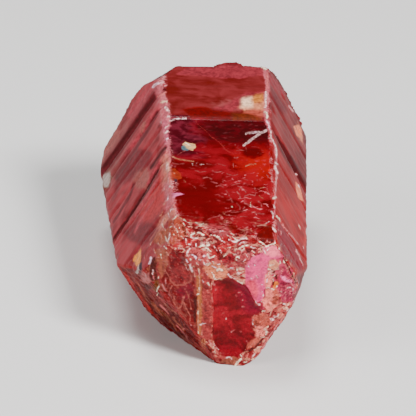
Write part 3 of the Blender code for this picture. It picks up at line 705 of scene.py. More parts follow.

# Flakes that stand out and shine: a colour, then the width and the line of each one. Their pale colours are
# partly the stone's own frost and crackle and partly painted highlights, where these catch the light.
FLAKES = (
    # frost along the left edge of the top
    (STRAND_PINK, (
        (2.6, (158, 97), (162, 94), (166, 92)), (1.8, (167, 151), (163, 157)),
        (2.4, (169, 173), (168.5, 182)), (2, (166, 190), (169, 190)), (2.4, (171, 203), (175, 207)),
        (1.4, (161, 179), (164, 174)), (1.3, (162, 192), (165, 187)),
    )),
    (LILAC_WHITE, (
        (3.2, (153, 87), (156, 84), (159, 83)), (1.5, (166, 139.5), (168, 138)),
        (1.4, (168.5, 195), (167.5, 200)),
    )),
    (FROST_PINK, (
        (1.8, (160, 83), (164, 81)), (2.2, (167.5, 116), (170.5, 116.5)),
        (1.6, (165.5, 127.5), (169, 124.5)), (2.6, (167, 164), (167, 170)), (2.2, (169, 186), (172, 187)),
        (1.8, (168, 213), (169.5, 217)),
    )),
    (STRAND_TAN, (
        (2, (162.5, 224), (164, 221), (165.5, 218.5)), (1.4, (160, 168), (163, 164)),
        (1.4, (163, 205), (166, 201)), (1.3, (160, 216), (163, 211)),
    )),
    (FROST_WHITE, (
        (3, (165, 107), (168, 109), (168.5, 111)), (1.6, (164.5, 133), (168, 130.5)),
        (2.2, (170, 211), (173, 209)),
    )),
    (STEP_CREAM, ((3, (161, 102), (164, 100.5), (167, 101)),)),
    # frost along the right edge of the top
    (CREAM_WHITE, (
        (2.6, (262, 66), (266, 69)), (2.8, (265, 111.5), (267, 113), (268, 117)),
        (3.4, (273.7, 197.5), (276.3, 197)), (2, (276.5, 215.5), (279, 218), (281, 221)),
    )),
    (LILAC_WHITE, ((1.6, (267, 120), (269, 125), (270, 130)),)),
    (FROST_WHITE, (
        (3, (266, 92), (266.5, 98), (265.5, 107)),
        (1.6, (271, 131), (271.5, 137), (274, 142), (276, 147), (277, 152), (276.5, 158)),
        (1.8, (275.5, 162), (278, 164)), (2.8, (275.5, 166), (276.5, 170), (278, 173)),
        (1.8, (274, 204), (274.5, 207.5)), (2, (271.5, 211), (273, 214), (273.5, 217)),
        (2.2, (272.5, 226.5), (275, 229), (276.5, 231)),
    )),
    (STRAND_PINK, (
        (2.4, (267.5, 73), (268, 80), (267, 88)), (2, (277, 176), (276, 184), (275.5, 192)),
        (1.2, (281, 221), (284, 226), (288, 231), (292, 236), (296, 241), (299, 245)),
        (1.5, (273, 219), (275, 223)), (1.1, (272.5, 232), (274, 236), (275.5, 241)),
        (2.2, (283, 224), (284, 227)),
    )),
    # the upper right face
    (FROST_WHITE, (
        (2.4, (296.5, 174), (296.5, 175)), (1.8, (298.5, 185), (299.5, 187)),
        (1.2, (304, 246), (304.3, 249)), (1.3, (280, 247.5), (280.3, 249.5)),
    )),
    (STRAND_PINK, (
        (2, (289, 106), (293, 111)), (1.6, (296, 250), (299, 255), (300.5, 260), (303, 265)),
        (1.2, (281, 231), (281.3, 233.5)), (1, (288, 233.5), (288.6, 235.5)),
    )),
    (STRAND_TAN, ((1.6, (299, 225), (300.5, 229)),)),
    # scratches and specks in the top
    (STRAND_TAN, (
        (2, (246, 165.5), (250, 164), (256, 163.5)), (1.2, (260, 188), (264, 186.5)),
        (1.2, (184, 180), (186, 182)), (1.4, (173.5, 172.5), (175, 173.5)), (1.3, (259, 195), (263, 198)),
    )),
    (STEP_PEACH, ((1.8, (172, 156), (178, 158.5), (185, 160), (194, 161)),)),
    (STRAND_PINK, (
        (0.8, (178, 154.5), (182, 151.5), (186, 150)), (1, (172, 162.5), (178, 163.5), (184, 163)),
        (1.2, (207, 163.5), (211, 164)), (1.1, (219, 163.5), (222, 164.2), (226, 165.5)),
        (1, (236, 150), (241, 149.5), (244, 150)), (1.2, (235, 144.5), (235.2, 145.2)),
        (1.6, (234, 157), (238, 157)), (1.2, (233, 163), (233.5, 167)), (1.6, (268.5, 171), (271, 173)),
        (1.6, (267, 174.5), (268.5, 177)), (1.3, (257, 178.5), (257.5, 180)),
        (1.3, (231, 184.5), (236, 184), (240, 182.5)), (1.8, (237, 191.5), (239, 194), (240.5, 197.5)),
        (1.6, (231, 198), (232.5, 202)), (1.8, (244, 202.5), (248, 204), (250, 206)),
        (1.4, (243, 209), (245, 206.5)), (1.1, (223, 177), (223, 182)),
        (1.2, (267, 188), (269, 193), (271, 197)), (1.5, (203, 177.5), (207, 176.5), (212, 178.5)),
        (0.8, (189, 183), (193, 185), (196, 188)), (1.6, (245, 196), (249, 194), (254, 195)),
        (1.2, (254, 186), (256, 190), (255, 195)), (1.3, (226, 190), (229, 194), (230, 198)),
        (1.2, (216, 186), (220, 185), (224, 187)), (1.2, (219, 195), (223, 197)),
        (1.4, (257, 200), (261, 203), (262, 207)), (1.2, (237, 203), (240, 206), (240, 209)),
        (1.1, (212, 170), (217, 172), (222, 171)), (1, (195, 170), (200, 172), (206, 171)),
        (1.1, (227, 173), (232, 175), (238, 174)), (1, (243, 178), (248, 180)),
    )),
    (CREAM_WHITE, (
        (1.6, (232, 206), (232.3, 207)), (1.2, (251, 201), (250.5, 206)),
        (1.4, (185.5, 142.5), (188, 144), (191, 146)),
    )),
    (FROST_WHITE, (
        (1.7, (170, 120.5), (175, 119), (180, 118), (187, 118.5)), (1, (192, 163), (193, 164.5)),
        (0.9, (196, 163.5), (197, 162)), (1.1, (200, 164), (204, 164.2)),
        (3, (246, 133), (252, 131.8), (259, 131.5)), (1.3, (250, 140.5), (247.5, 142)),
        (1.1, (239.5, 189), (239.6, 190)),
    )),
    (LILAC_WHITE, ((1.2, (252, 132), (257, 131.6)),)),
    (FROST_WHITE, ((3.2, (266, 130), (260, 133), (254, 137), (249, 141), (244, 145)),)),
    (STRAND_PINK, (
        (0.9, (246, 147), (246.5, 151)), (1.4, (238, 186), (243, 188), (246, 192)),
    )),
    # where the top ends
    (CREAM_WHITE, (
        (1.6, (172, 219.5), (174.5, 217.5), (176.5, 215)), (1.5, (189, 221.5), (190, 222)),
    )),
    (STRAND_TAN, (
        (1.4, (178, 216), (182, 218), (184, 219)), (1.2, (190, 222), (196, 222)),
        (1, (223, 212), (225, 214.5)),
    )),
    (CREAM_WHITE, (
        (1.3, (184, 219), (186.5, 220.5)), (1.4, (196, 222), (198.5, 224), (201, 224.3), (203.5, 223.2)),
    )),
    (STRAND_PINK, (
        (0.8, (203.5, 223.2), (210, 223.4), (220, 223.6), (228, 224.4)),
        (0.7, (176, 215), (184, 215.2), (192, 216)), (0.9, (207, 219), (213, 217), (220, 215.5)),
        (0.9, (225, 212), (231, 210.5), (240, 211), (250, 210)),
        (1.8, (252, 211.5), (258, 213), (264, 213.5)), (0.9, (226, 215), (236, 215.5), (247, 216.5)),
    )),
    (STRAND_TAN, ((1.6, (221.5, 215.5), (222, 217)),)),
    # the brow
    (CREAM_WHITE, (
        (1.9, (197.5, 232.5), (200, 232.5), (203.5, 234)), (2.3, (217, 236.3), (220, 238.7)),
        (2, (200, 246.5), (202.5, 245), (206, 246), (209, 244.2)),
        (1.5, (205, 248), (208, 248.7), (210.5, 250.8)),
        (2, (207.5, 254), (209, 257.6), (212, 257.6), (214.5, 256)), (1.6, (190, 259), (190.5, 260.5)),
        (3.2, (207, 265), (210, 264.8)), (1.3, (169.5, 227), (171.5, 226.5)),
        (1.2, (175.5, 227.5), (177, 229.5), (177.5, 232)), (1, (231, 232.3), (234.5, 233.4)),
        (1.3, (232.5, 235.5), (235, 238), (237.5, 239.8)),
        (1.3, (238.5, 248.5), (241, 246.5), (244, 246), (248, 245)),
        (1.2, (243.5, 246), (244, 249), (241, 250.5), (239.5, 248.5)),
        (2.1, (266, 246), (268.5, 244.5), (272, 242.2), (275.5, 241.8)),
        (1.4, (235.5, 258), (237.5, 255.5), (239, 257.5)), (1.5, (236, 259.7), (237, 259.9)),
    )),
    (LILAC_WHITE, (
        (2.6, (191, 254.5), (194, 256), (195.8, 257.8)), (2.4, (203.5, 255.5), (204.7, 255.3)),
        (2, (186, 260), (187.5, 262.5)), (1.6, (212, 267.5), (216, 269)),
    )),
    (STRAND_PINK, (
        (0.8, (205, 226), (215, 227), (226, 228)), (0.8, (206, 229), (216, 230), (227, 231.5)),
        (2, (201, 243), (205, 243.5)), (1, (197, 254), (198.7, 252)), (1.1, (218, 247), (218.6, 248.5)),
        (0.9, (227, 243), (229, 246)), (1, (176, 240), (180, 240.6)), (1.2, (175, 242.8), (181, 243)),
        (0.9, (236, 225), (238, 228.5)), (1.6, (231.5, 219.3), (233, 220.5)),
        (1, (244, 222.5), (247, 223.5)), (0.9, (243, 226), (246, 229.5), (249, 232), (251, 233)),
        (1.8, (254.5, 231.5), (256, 232)), (1.2, (263.8, 231.5), (264.2, 232.5)),
        (0.9, (266.3, 241), (267.7, 238.3)), (0.9, (243, 249.5), (241, 252.5), (239.5, 255)),
        (1.2, (248, 253.5), (249, 255)),
    )),
    (FROST_WHITE, (
        (1.5, (221, 240), (224.5, 241.5)), (1.5, (188, 243.5), (190, 244.5)),
        (1.7, (187.5, 255.5), (188, 257)), (2.2, (199, 259.5), (200.5, 259.8)),
        (3, (190, 265), (191, 268), (192, 271)), (2.6, (218, 264.8), (219.5, 265)),
        (1.4, (220, 250.5), (221.5, 252.7)), (2, (169, 233), (169.3, 237), (168, 241)),
        (1.4, (266, 222.7), (269, 220.8)), (1.9, (229, 239.5), (232.5, 241), (236, 241.5)),
        (1.7, (236, 241.5), (239, 239.5), (243, 237.7), (246.5, 238)),
        (1.3, (239.5, 244.5), (241, 242.4), (244.5, 241.6), (247, 242)),
        (1.8, (263, 249.5), (265, 252), (266, 254)), (1.8, (267.5, 250), (269, 248)),
    )),
    (STRAND_TAN, (
        (0.9, (187, 231), (188.5, 234), (191, 237), (195, 238.5), (205, 238.5)),
        (1.2, (203.5, 230.5), (206, 232.5), (209.5, 236), (213, 239), (216, 242)),
        (1, (222, 246), (226, 250), (232, 254)), (1.2, (178.5, 225.5), (180, 228), (182, 231.5)),
        (0.9, (170, 230), (175, 229.8), (180, 230.5)), (0.9, (241, 234), (246, 236), (248.5, 239)),
        (0.9, (244, 231), (247, 235)), (1.1, (248, 245), (251, 244.3), (255, 245), (258, 243)),
        (1, (239.5, 258.6), (242, 259)),
    )),
    (CREAM_WHITE, (
        (1.9, (190.5, 236), (192, 234), (194.2, 232.8)), (1.2, (211, 235), (215, 235.3)),
        (1.4, (227.5, 248), (230.5, 247.3)), (1.4, (226.5, 233.5), (228, 235), (230, 236)),
        (1.8, (258.5, 240.7), (261, 242), (264, 244.3)),
    )),
    (STRAND_PINK, (
        (1, (191, 242), (192, 247), (193.5, 249)), (1.2, (170.5, 237), (172, 241.5)),
        (0.9, (254.5, 230), (257, 228.3), (261, 225.2), (266, 222.7)),
        (0.9, (250, 236.5), (253, 235.5), (256, 236), (259, 239)),
    )),
    (FROST_WHITE, (
        (1.3, (191, 237), (194, 238), (197, 238.5)), (1.6, (186.5, 253.5), (188, 250.5), (190, 248.5)),
        (1.8, (250.5, 246.5), (252.5, 247.8), (255, 247.8)),
    )),
    # grains on the left shoulder and above the rib
    (CREAM_WHITE, (
        (1.3, (163, 226), (165, 230)), (1.2, (165, 236), (166.5, 241)), (1.2, (164, 246), (167, 249)),
        (1.2, (183, 222.5), (185, 226)), (1.2, (181, 236), (183, 239)), (1.2, (160, 254), (161, 258)),
        (1.1, (173, 233), (175, 236)), (1.3, (196, 262), (198, 265)), (1.2, (198, 269), (199, 274)),
        (1.2, (212, 262), (214, 264.5)), (1.2, (207, 283), (209.5, 286)), (1.1, (224, 256), (227, 254.5)),
        (1.1, (252, 251), (255, 252.5)),
    )),
    (FROST_PINK, (
        (1.3, (172, 223.5), (174, 227)), (1.2, (186, 239), (186.3, 243)), (1.2, (178, 247.5), (182, 249)),
        (1.3, (205, 273), (207, 276)), (1.2, (202, 280), (204, 283)), (1.1, (186, 268), (187.5, 272)),
        (1.2, (214, 246), (217, 251)), (1.2, (243, 262), (246, 258.5)), (1.1, (246, 254), (248, 257)),
    )),
    (STRAND_TAN, (
        (1.4, (160, 233), (162, 238)), (1.3, (158, 243), (161, 246)), (1.1, (186, 228), (187, 232)),
        (1.3, (171, 247), (175, 249)), (1.2, (154, 249), (155, 253)), (1.2, (166, 252), (168, 256)),
        (1.1, (178, 233.5), (179, 237)), (1.4, (194, 272), (195, 277)),
    )),
    (FROST_WHITE, (
        (1.3, (203, 261.5), (205, 265.5)), (1.2, (195.5, 243), (196.5, 247)),
    )),
    # round the window
    (CREAM_WHITE, (
        (1.8, (212, 273.5), (213.5, 276), (214.5, 279), (218, 279.8), (221, 279.5)),
        (2.6, (217, 271), (219.5, 269), (222, 271)), (1.8, (236.5, 268), (237.5, 270.5)),
        (1.9, (237, 281), (239.5, 282.8), (242, 284)), (1.3, (262, 313.2), (265, 312)),
    )),
    (STRAND_PINK, (
        (2.2, (213, 283.5), (215, 285.5)), (1.4, (212.3, 298), (213, 302)), (1.3, (213.5, 310), (214, 312)),
        (1.6, (209, 341), (212, 345)),
    )),
    (FROST_WHITE, (
        (1.8, (228, 274.5), (230, 276.3), (231.5, 278.3)), (1.2, (233, 278), (235, 279.5)),
        (1.5, (255, 301.5), (256, 304.5), (260, 305)), (1.2, (260, 302), (264, 302.5)),
        (1.4, (252.8, 319), (252.5, 325)), (1.1, (255, 326), (255.5, 326.7)),
        (1.4, (214.5, 345), (217, 348), (219, 350)),
    )),
    (LILAC_WHITE, (
        (1.4, (230, 269), (233, 269)), (1.2, (238, 272.5), (239, 274.5)),
    )),
    (STRAND_TAN, (
        (2.2, (241, 280), (244, 283)), (1.6, (211, 335), (212, 337)),
    )),
    # in the window
    (STRAND_PINK, (
        (1.1, (216.3, 290), (216.6, 291.3)), (0.9, (238, 293.5), (241, 293)),
        (1.2, (236, 296), (236.3, 297.5)), (1.2, (242.5, 301), (243, 301.6)),
        (1.3, (242, 307.5), (244, 307.8)), (1.2, (231, 333), (234, 331)), (0.9, (240, 332.5), (241, 333)),
        (1, (246, 342), (247, 343)), (1, (221, 353), (221.8, 353.6)),
    )),
    (FROST_WHITE, (
        (0.9, (241.5, 294.7), (241.7, 295.3)), (1.1, (226, 318.7), (226, 320)),
    )),
    (STRAND_TAN, ((1, (222.5, 314), (223.7, 314)),)),
    # the rib and the cheek
    (FROST_WHITE, (
        (1.4, (200, 325), (205.5, 324)), (1.6, (152.5, 270.5), (152.6, 274)),
    )),
    (STRAND_PINK, (
        (1.6, (162.5, 284.5), (163.8, 288), (166, 292.5)), (1.3, (165, 279), (166.3, 283)),
        (1.1, (153.3, 276), (154, 280)), (1.6, (145.5, 274), (147.5, 277)), (1.3, (144, 280), (146, 278.5)),
        (1.2, (168, 294.5), (169, 296)), (1.2, (155, 301), (155.5, 303)), (1.3, (191, 324), (191.8, 325)),
        (1.1, (183.5, 328.5), (186, 330), (189, 332)), (1.1, (144, 256), (144.5, 258)),
    )),
    (STRAND_TAN, (
        (1.2, (199, 270), (199.5, 284), (199, 294)), (1, (198, 300), (198, 318), (198, 330)),
        (1.1, (201, 304), (203.5, 308)), (1.2, (201.5, 331), (201.5, 336)),
        (1.6, (156.5, 257), (158.3, 257.6)), (1.5, (159.5, 249.5), (161, 251.8)),
        (1.1, (149, 246), (151.5, 243.5), (153, 242)),
    )),
    (CREAM_WHITE, (
        (1.3, (198.3, 288), (198.5, 289.3)), (1.3, (196.5, 295), (198.3, 294.5)),
        (1.3, (197.3, 312.5), (197.6, 314.5)), (1.2, (197.5, 331), (197.6, 334)),
        (1.4, (157.5, 286), (157.3, 291), (157.2, 295)), (1.5, (158.3, 276.6), (158.6, 278)),
    )),
    (STRAND_TAN, ((1.2, (157.2, 295), (159, 298.5)),)),
    # the hole and the temple
    (CREAM_WHITE, (
        (1.6, (267, 288), (271, 288.7), (274, 289.8)), (1.4, (277.3, 286.5), (276.5, 288)),
        (1.8, (268.5, 269), (271, 269.5)), (1.6, (270, 265), (273.5, 264.8)),
        (1.1, (268.7, 273), (268.5, 275.3)), (1, (273.3, 277), (274.7, 275.3)),
        (1.2, (273, 279.5), (273.3, 281)), (1.5, (280, 261), (280.5, 263.3)),
        (2, (284, 261.5), (284.6, 262.6)),
    )),
    (LILAC_WHITE, (
        (1.3, (265.5, 276), (267.5, 279), (266.5, 283)), (1.4, (251.5, 278.5), (252.3, 279.3)),
        (1.3, (254.5, 265), (255.5, 266.4)), (1.5, (248, 265.5), (249.5, 268)),
        (1.1, (261.5, 291), (262.3, 292)), (1, (261, 285), (263, 285.3)),
        (1.3, (297.3, 280.5), (298.6, 283.5)), (1.3, (302, 282.6), (303, 282.8)),
    )),
    (FROST_WHITE, (
        (1.5, (256.3, 276.5), (258, 278.6)), (1.8, (262.8, 294.8), (263.5, 295.6)),
        (1.8, (288, 287.8), (290, 287.6)), (1.6, (293.3, 288.5), (293.5, 291)),
        (1.4, (281, 291.3), (281.6, 292)), (1.8, (283.5, 304), (285.5, 304.3)),
        (1.7, (299.8, 285), (300.8, 289), (300, 293), (297.5, 298), (293, 302)),
    )),
    (STRAND_PINK, (
        (1.4, (290.5, 283), (294, 287)), (1.2, (281, 267.5), (283.5, 270.5)),
        (1.3, (286, 265.5), (289, 272.5)),
    )),
    (STRAND_TAN, ((1.2, (271, 260), (274, 262), (277, 265)),)),
    # the jaw and the tip
    (CREAM_WHITE, (
        (2, (264.5, 329), (267, 332), (266.3, 335)), (1.6, (261.5, 337.4), (265, 337.6)),
        (1.8, (240.5, 355), (242, 357.8)), (2.4, (241, 360), (238, 362), (236.3, 364.7), (234.5, 366)),
        (1.2, (244, 363), (247, 362.6)), (1.4, (213, 352.3), (214.5, 352.8)),
    )),
    (FROST_WHITE, (
        (1.8, (270.5, 320), (273.5, 319.6)), (2, (274.5, 317.5), (278.5, 315.2)),
        (1.6, (285, 312), (288.5, 308.5)), (1.4, (252, 356.5), (254.5, 353.5)),
        (1.6, (226, 358), (230, 357.7), (232, 359.5)),
    )),
    (STRAND_PINK, ((1.4, (284, 317), (279, 324), (274, 331), (268, 340), (262, 349), (255, 358)),)),
    (STRAND_TAN, (
        (1.5, (271, 306), (271.5, 312), (270.3, 317)), (1.2, (273, 307), (277, 305), (279, 304.5)),
        (1.3, (263, 343.5), (265, 340)), (1.3, (256.5, 351), (260.5, 347.5)),
        (1.4, (242, 353.5), (244.5, 354.5)), (1.4, (244, 360), (247.5, 357.8), (248.8, 360.5)),
        (1.6, (206, 342), (210, 345), (214, 349), (218, 355)),
    )),
)


def facing_view(points, normals):
    """1 where the surface faces the place that the view is taken from, 0 where it turns away."""
    away = np.array(lie_down().inverted() @ view().translation) - points
    away /= np.linalg.norm(away, axis=1)[:, None]
    return np.clip(((away * normals).sum(1) - 0.05) / 0.15, 0, 1)


class Layer:
    """Colours laid over each other on the points of a mesh, and the shares that they cover."""

    def __init__(self, count):
        self.colour = np.zeros((count, 3))
        self.cover = np.zeros(count)

    def lay(self, where, share, colour):
        """Lays a colour over some points, as far as each one's share."""
        before = self.cover[where] * (1 - share)
        total = np.maximum(before + share, 1e-6)
        mixed = self.colour[where] * before[:, None] + np.array(colour) * share[:, None]
        self.colour[where] = mixed / total[:, None]
        self.cover[where] = before + share


def stray(points, size, amount):
    """A soft sideways shift in the picture for each point."""
    return np.stack([layered_noise(points, size, 90 + 5 * k, 2) for k in range(2)], 1) * amount


def close_to(places, facing, outline, reach):
    """The points that face the view and are near an outline or a line."""
    low = np.min(outline, axis=0) - reach
    high = np.max(outline, axis=0) + reach
    return np.flatnonzero(((places > low) & (places < high)).all(1) & (facing > 0))


def lay_line(layer, places, facing, colour, width, softness, line):
    """Lays one soft line over the colours of a layer."""
    where = close_to(places, facing, line, width + softness)
    depth = depth_in_stroke(places[where], line, width)
    layer.lay(where, ease(depth / softness + 0.5) * facing[where], colour)


def draw_marks(points, normals, hidden):
    """The colours of the patches and soft lines on the points of the mesh, and those of the flakes."""
    facing = facing_view(points, normals) * (1 - hidden)
    places = in_picture(points)
    under, flakes = Layer(len(points)), Layer(len(points))
    strayed = places + stray(points, PATCH_WANDER_SIZE, PATCH_WANDER)
    for colour, softness, outline in PATCHES:
        where = close_to(strayed, facing, outline, softness)
        depth = depth_inside(strayed[where], outline)
        under.lay(where, ease(depth / softness + 0.5) * facing[where], colour)
    strayed = places + stray(points, LINE_WANDER_SIZE, LINE_WANDER)
    for colour, width, softness, line in SOFT_LINES:
        lay_line(under, strayed, facing, colour, width, softness, line)
    for colour, lines in FLAKES:
        for width, *line in lines:
            lay_line(flakes, strayed, facing, colour, width * FLAKE_WIDTH, FLAKE_SOFTNESS, line)
    return under, flakes


# ---- Nodes -------------------------------------------------------------------------------------

class Nodes:
    """Adds nodes to a material and joins them up. Sizes and places are in the crystal's millimetres."""

    def __init__(self, material):
        self.tree = material.node_tree
        self.place = self.stored("place", "Vector")
        self.x, self.y, self.z = self.add("ShaderNodeSeparateXYZ", {0: self.place}).outputs
        self.wobble = self.calc("SUBTRACT", self.noise(0.30), 0.5)

    def add(self, kind, inputs=(), **settings):
        """A new node with its settings and with its inputs fed."""
        made = self.tree.nodes.new(kind)
        for name, value in settings.items():
            setattr(made, name, value)
        for key, value in dict(inputs).items():
            self.feed(made.inputs[key], value)
        return made

    def feed(self, socket, value):
        """Joins another node's output to a socket, or sets the socket's own value."""
        if isinstance(value, bpy.types.NodeSocket):
            self.tree.links.new(value, socket)
        elif socket.type == "RGBA":
            socket.default_value = (*value, 1.0)
        else:
            socket.default_value = value

    def stored(self, name, output="Fac"):
        """What the mesh's points store under a name."""
        return self.add("ShaderNodeAttribute", attribute_name=name).outputs[output]

    def calc(self, operation, first, second=0.0):
        """One step of arithmetic on two numbers."""
        return self.add("ShaderNodeMath", {0: first, 1: second}, operation=operation).outputs[0]

    def chain(self, operation, values):
        """One operation over several values, from the first on."""
        total = values[0]
        for value in values[1:]:
            total = self.calc(operation, total, value)
        return total

    def times(self, *values):
        """The product of some numbers."""
        return self.chain("MULTIPLY", values)

    def plus(self, *values):
        """The sum of some numbers."""
        return self.chain("ADD", values)

    def most(self, *values):
        """The greatest of some numbers."""
        return self.chain("MAXIMUM", values)

    def left(self, share):
        """What a share leaves of the whole."""
        return self.calc("SUBTRACT", 1.0, share)

    def sway(self, noise, amount):
        """Noise turned into a shift to either side of 0."""
        return self.times(self.calc("SUBTRACT", noise, 0.5), amount)

    def rise(self, value, low, high):
        """0 below low, 1 above high and a soft step between, or the other way if low is above high."""
        start, end = (low, high) if low < high else (high, low)
        out = (0.0, 1.0) if low < high else (1.0, 0.0)
        made = self.add(
            "ShaderNodeMapRange",
            {"Value": value, "From Min": start, "From Max": end, "To Min": out[0], "To Max": out[1]},
            interpolation_type="SMOOTHSTEP",
        )
        return made.outputs[0]

    def between(self, share, first, second):
        """A number between two numbers."""
        made = self.add("ShaderNodeMix", {0: share, 2: first, 3: second}, data_type="FLOAT")
        return made.outputs[0]

    def over(self, under, colour, *shares):
        """A colour laid over another, as far as the product of some shares."""
        made = self.add("ShaderNodeMix", {0: self.times(*shares), 6: under, 7: colour}, data_type="RGBA")
        return made.outputs[2]

    def shade(self, value, low, high, first, second):
        """One colour where a value is low, and another where it is high."""
        return self.over(first, second, self.rise(value, low, high))

    def tinted(self, colour, tint):
        """A colour made darker or lighter."""
        made = self.add("ShaderNodeVectorMath", {0: colour}, operation="SCALE")
        self.feed(made.inputs["Scale"], tint)
        return made.outputs[0]

    def stretched(self, size, turn=(0.0, 0.0, 0.0), centre=(0.0, 0.0, 0.0)):
        """The place measured from a centre in units of a size, along directions turned by degrees."""
        made = self.add("ShaderNodeMapping", {"Vector": self.place}, vector_type="TEXTURE")
        made.inputs["Location"].default_value = centre
        made.inputs["Rotation"].default_value = [math.radians(angle) for angle in turn]
        made.inputs["Scale"].default_value = size if isinstance(size, tuple) else (size,) * 3
        return made.outputs[0]

    def noise(self, size, detail=3.0, warp=0.0, shift=0.0, turn=(0.0, 0.0, 0.0)):
        """Noise from 0 to 1 with lumps of about a size, which is one number or one for each axis."""
        spot = self.stretched(size, turn, (shift,) * 3)
        made = self.add(
            "ShaderNodeTexNoise", {"Vector": spot, "Scale": 1.0, "Detail": detail, "Distortion": warp}
        )
        return made.outputs["Fac"]

    def level(self, height, width, at=0.5):
        """Thin curved lines, where a height crosses a level."""
        away = self.calc("ABSOLUTE", self.calc("SUBTRACT", height, at))
        return self.rise(away, width, width * 0.25)

    def cell_tone(self, size, shift=0.0):
        """A number of its own for each crumb of about a size."""
        spot = self.stretched(size, centre=(shift,) * 3)
        cells = self.add("ShaderNodeTexVoronoi", {"Vector": spot, "Scale": 1.0})
        return self.add("ShaderNodeSeparateColor", {0: cells.outputs["Color"]}).outputs[0]

    def spot(self, centre, size, turn=(0.0, 0.0, 0.0), ragged=0.35, softness=0.35):
        """1 inside a ragged oval blot, 0 outside it. Sizes are half-lengths."""
        offset = self.stretched(size, turn, centre)
        length = self.add("ShaderNodeVectorMath", {0: offset}, operation="LENGTH").outputs["Value"]
        length = self.plus(length, self.times(self.wobble, ragged * 4))
        return self.rise(length, 1.0 + softness, 1.0 - softness)


# ---- The ruby ----------------------------------------------------------------------------------

# Base colours, as linear shares of red, green and blue: the sides,
ROSE = (0.310, 0.032, 0.040)
ROSE_DARK = (0.145, 0.010, 0.013)
ROSE_RED = (0.285, 0.003, 0.005)
ROSE_RED_DARK = (0.160, 0.001, 0.002)
DUSK = (0.090, 0.007, 0.008)
DUSK_ROSE = (0.190, 0.020, 0.022)
# painted shade for the grooves
GROOVE_SHADE = (0.060, 0.006, 0.008)
ASHEN = (0.190, 0.060, 0.055)
PEACH = (0.560, 0.180, 0.100)
MOSS = (0.200, 0.130, 0.080)
# the top,
CRIMSON = (0.360, 0.004, 0.012)
BLOOD = (0.160, 0.001, 0.002)
# a painted glow, where light shines through the stone
SCARLET_GLOW = (0.600, 0.001, 0.001)
DARK_RED = (0.070, 0.001, 0.002)
MAROON = (0.060, 0.001, 0.002)
MAROON_LIGHT = (0.120, 0.001, 0.004)
PLUM_DARK = (0.070, 0.001, 0.006)
PLUM = (0.200, 0.016, 0.034)
BRICK = (0.098, 0.005, 0.004)
# the lighter tone of a painted sheen on the far top
BRICK_SHEEN = (0.165, 0.016, 0.018)
FAR_ROSE = (0.300, 0.070, 0.070)
# a painted glow, where light shines through the stone
RED_GLOW = (0.440, 0.006, 0.016)
FLECK = (0.560, 0.130, 0.150)
# the front end,
# the palest crumbs and the crackle's cores, partly painted highlights
CREAM = (0.900, 0.540, 0.360)
BLUSH = (0.400, 0.060, 0.065)
TAN = (0.400, 0.110, 0.050)
MAUVE = (0.420, 0.030, 0.075)
TEMPLE_RED = (0.260, 0.008, 0.024)
BROW_DARK = (0.105, 0.001, 0.002)
BROW_RED = (0.310, 0.006, 0.010)
CHEEK_DARK = (0.110, 0.001, 0.002)
CHEEK_BROWN = (0.170, 0.005, 0.006)
CHEEK_VEIN = (0.300, 0.060, 0.045)
UNDER_RED = (0.160, 0.005, 0.005)
UNDER_TAN = (0.240, 0.060, 0.038)
MAGENTA = (0.190, 0.001, 0.016)
WINDOW_DARK = (0.120, 0.001, 0.003)
WINDOW_RED = (0.270, 0.001, 0.009)
WINDOW_STREAK = (0.230, 0.006, 0.008)
WINDOW_SPECK = (0.420, 0.030, 0.040)
RIB_DARK = (0.170, 0.008, 0.008)
RIB_TAN = (0.320, 0.040, 0.028)
# a painted highlight along the rib's crest
RIB_CREST = (0.480, 0.170, 0.065)
CRUMB_RED = (0.180, 0.004, 0.007)
CRUMB_ROSE = (0.400, 0.050, 0.045)
CRUMB_PALE = (0.620, 0.180, 0.120)
# painted glints on the crumbs
CRUMB_GLINT = (0.900, 0.300, 0.230)
# the back end, and the frosted edges and flakes.
BACK_DARK = (0.110, 0.004, 0.006)
BACK_ROSE = (0.300, 0.026, 0.032)
BACK_DULL = (0.300, 0.075, 0.055)
BACK_RIDGE = (0.480, 0.120, 0.120)
WORN_ROSE = (0.330, 0.050, 0.062)
# pale frost on the edges, partly painted glints
FROST = (0.700, 0.260, 0.270)
FLAKE_HALO = (0.420, 0.055, 0.060)

# Marks on the sides: where each is, its half-lengths and its colour.
SIDE_MARKS = (
    ((5.75, 18.1, 1.60), (0.40, 0.8, 0.40), PEACH),
    ((-5.82, 15.1, -0.2), (0.5, 0.7, 0.5), MOSS),
)

# The finish: how rough each kind of surface is, how much light the clear one lets through, the coat on what
# sparkles, and what light meets inside.
SATIN = 0.48
GLASSY = 0.10
FROSTED = 0.6
CLEARNESS = 0.5
COAT = 0.8
COAT_ROUGHNESS = 0.15
IOR = 1.76
SPECULAR = 0.05
BUMP_DISTANCE = 0.06 * MM
INNER_RED = (0.95, 0.03, 0.06, 1.0)
ABSORPTION = 300.0


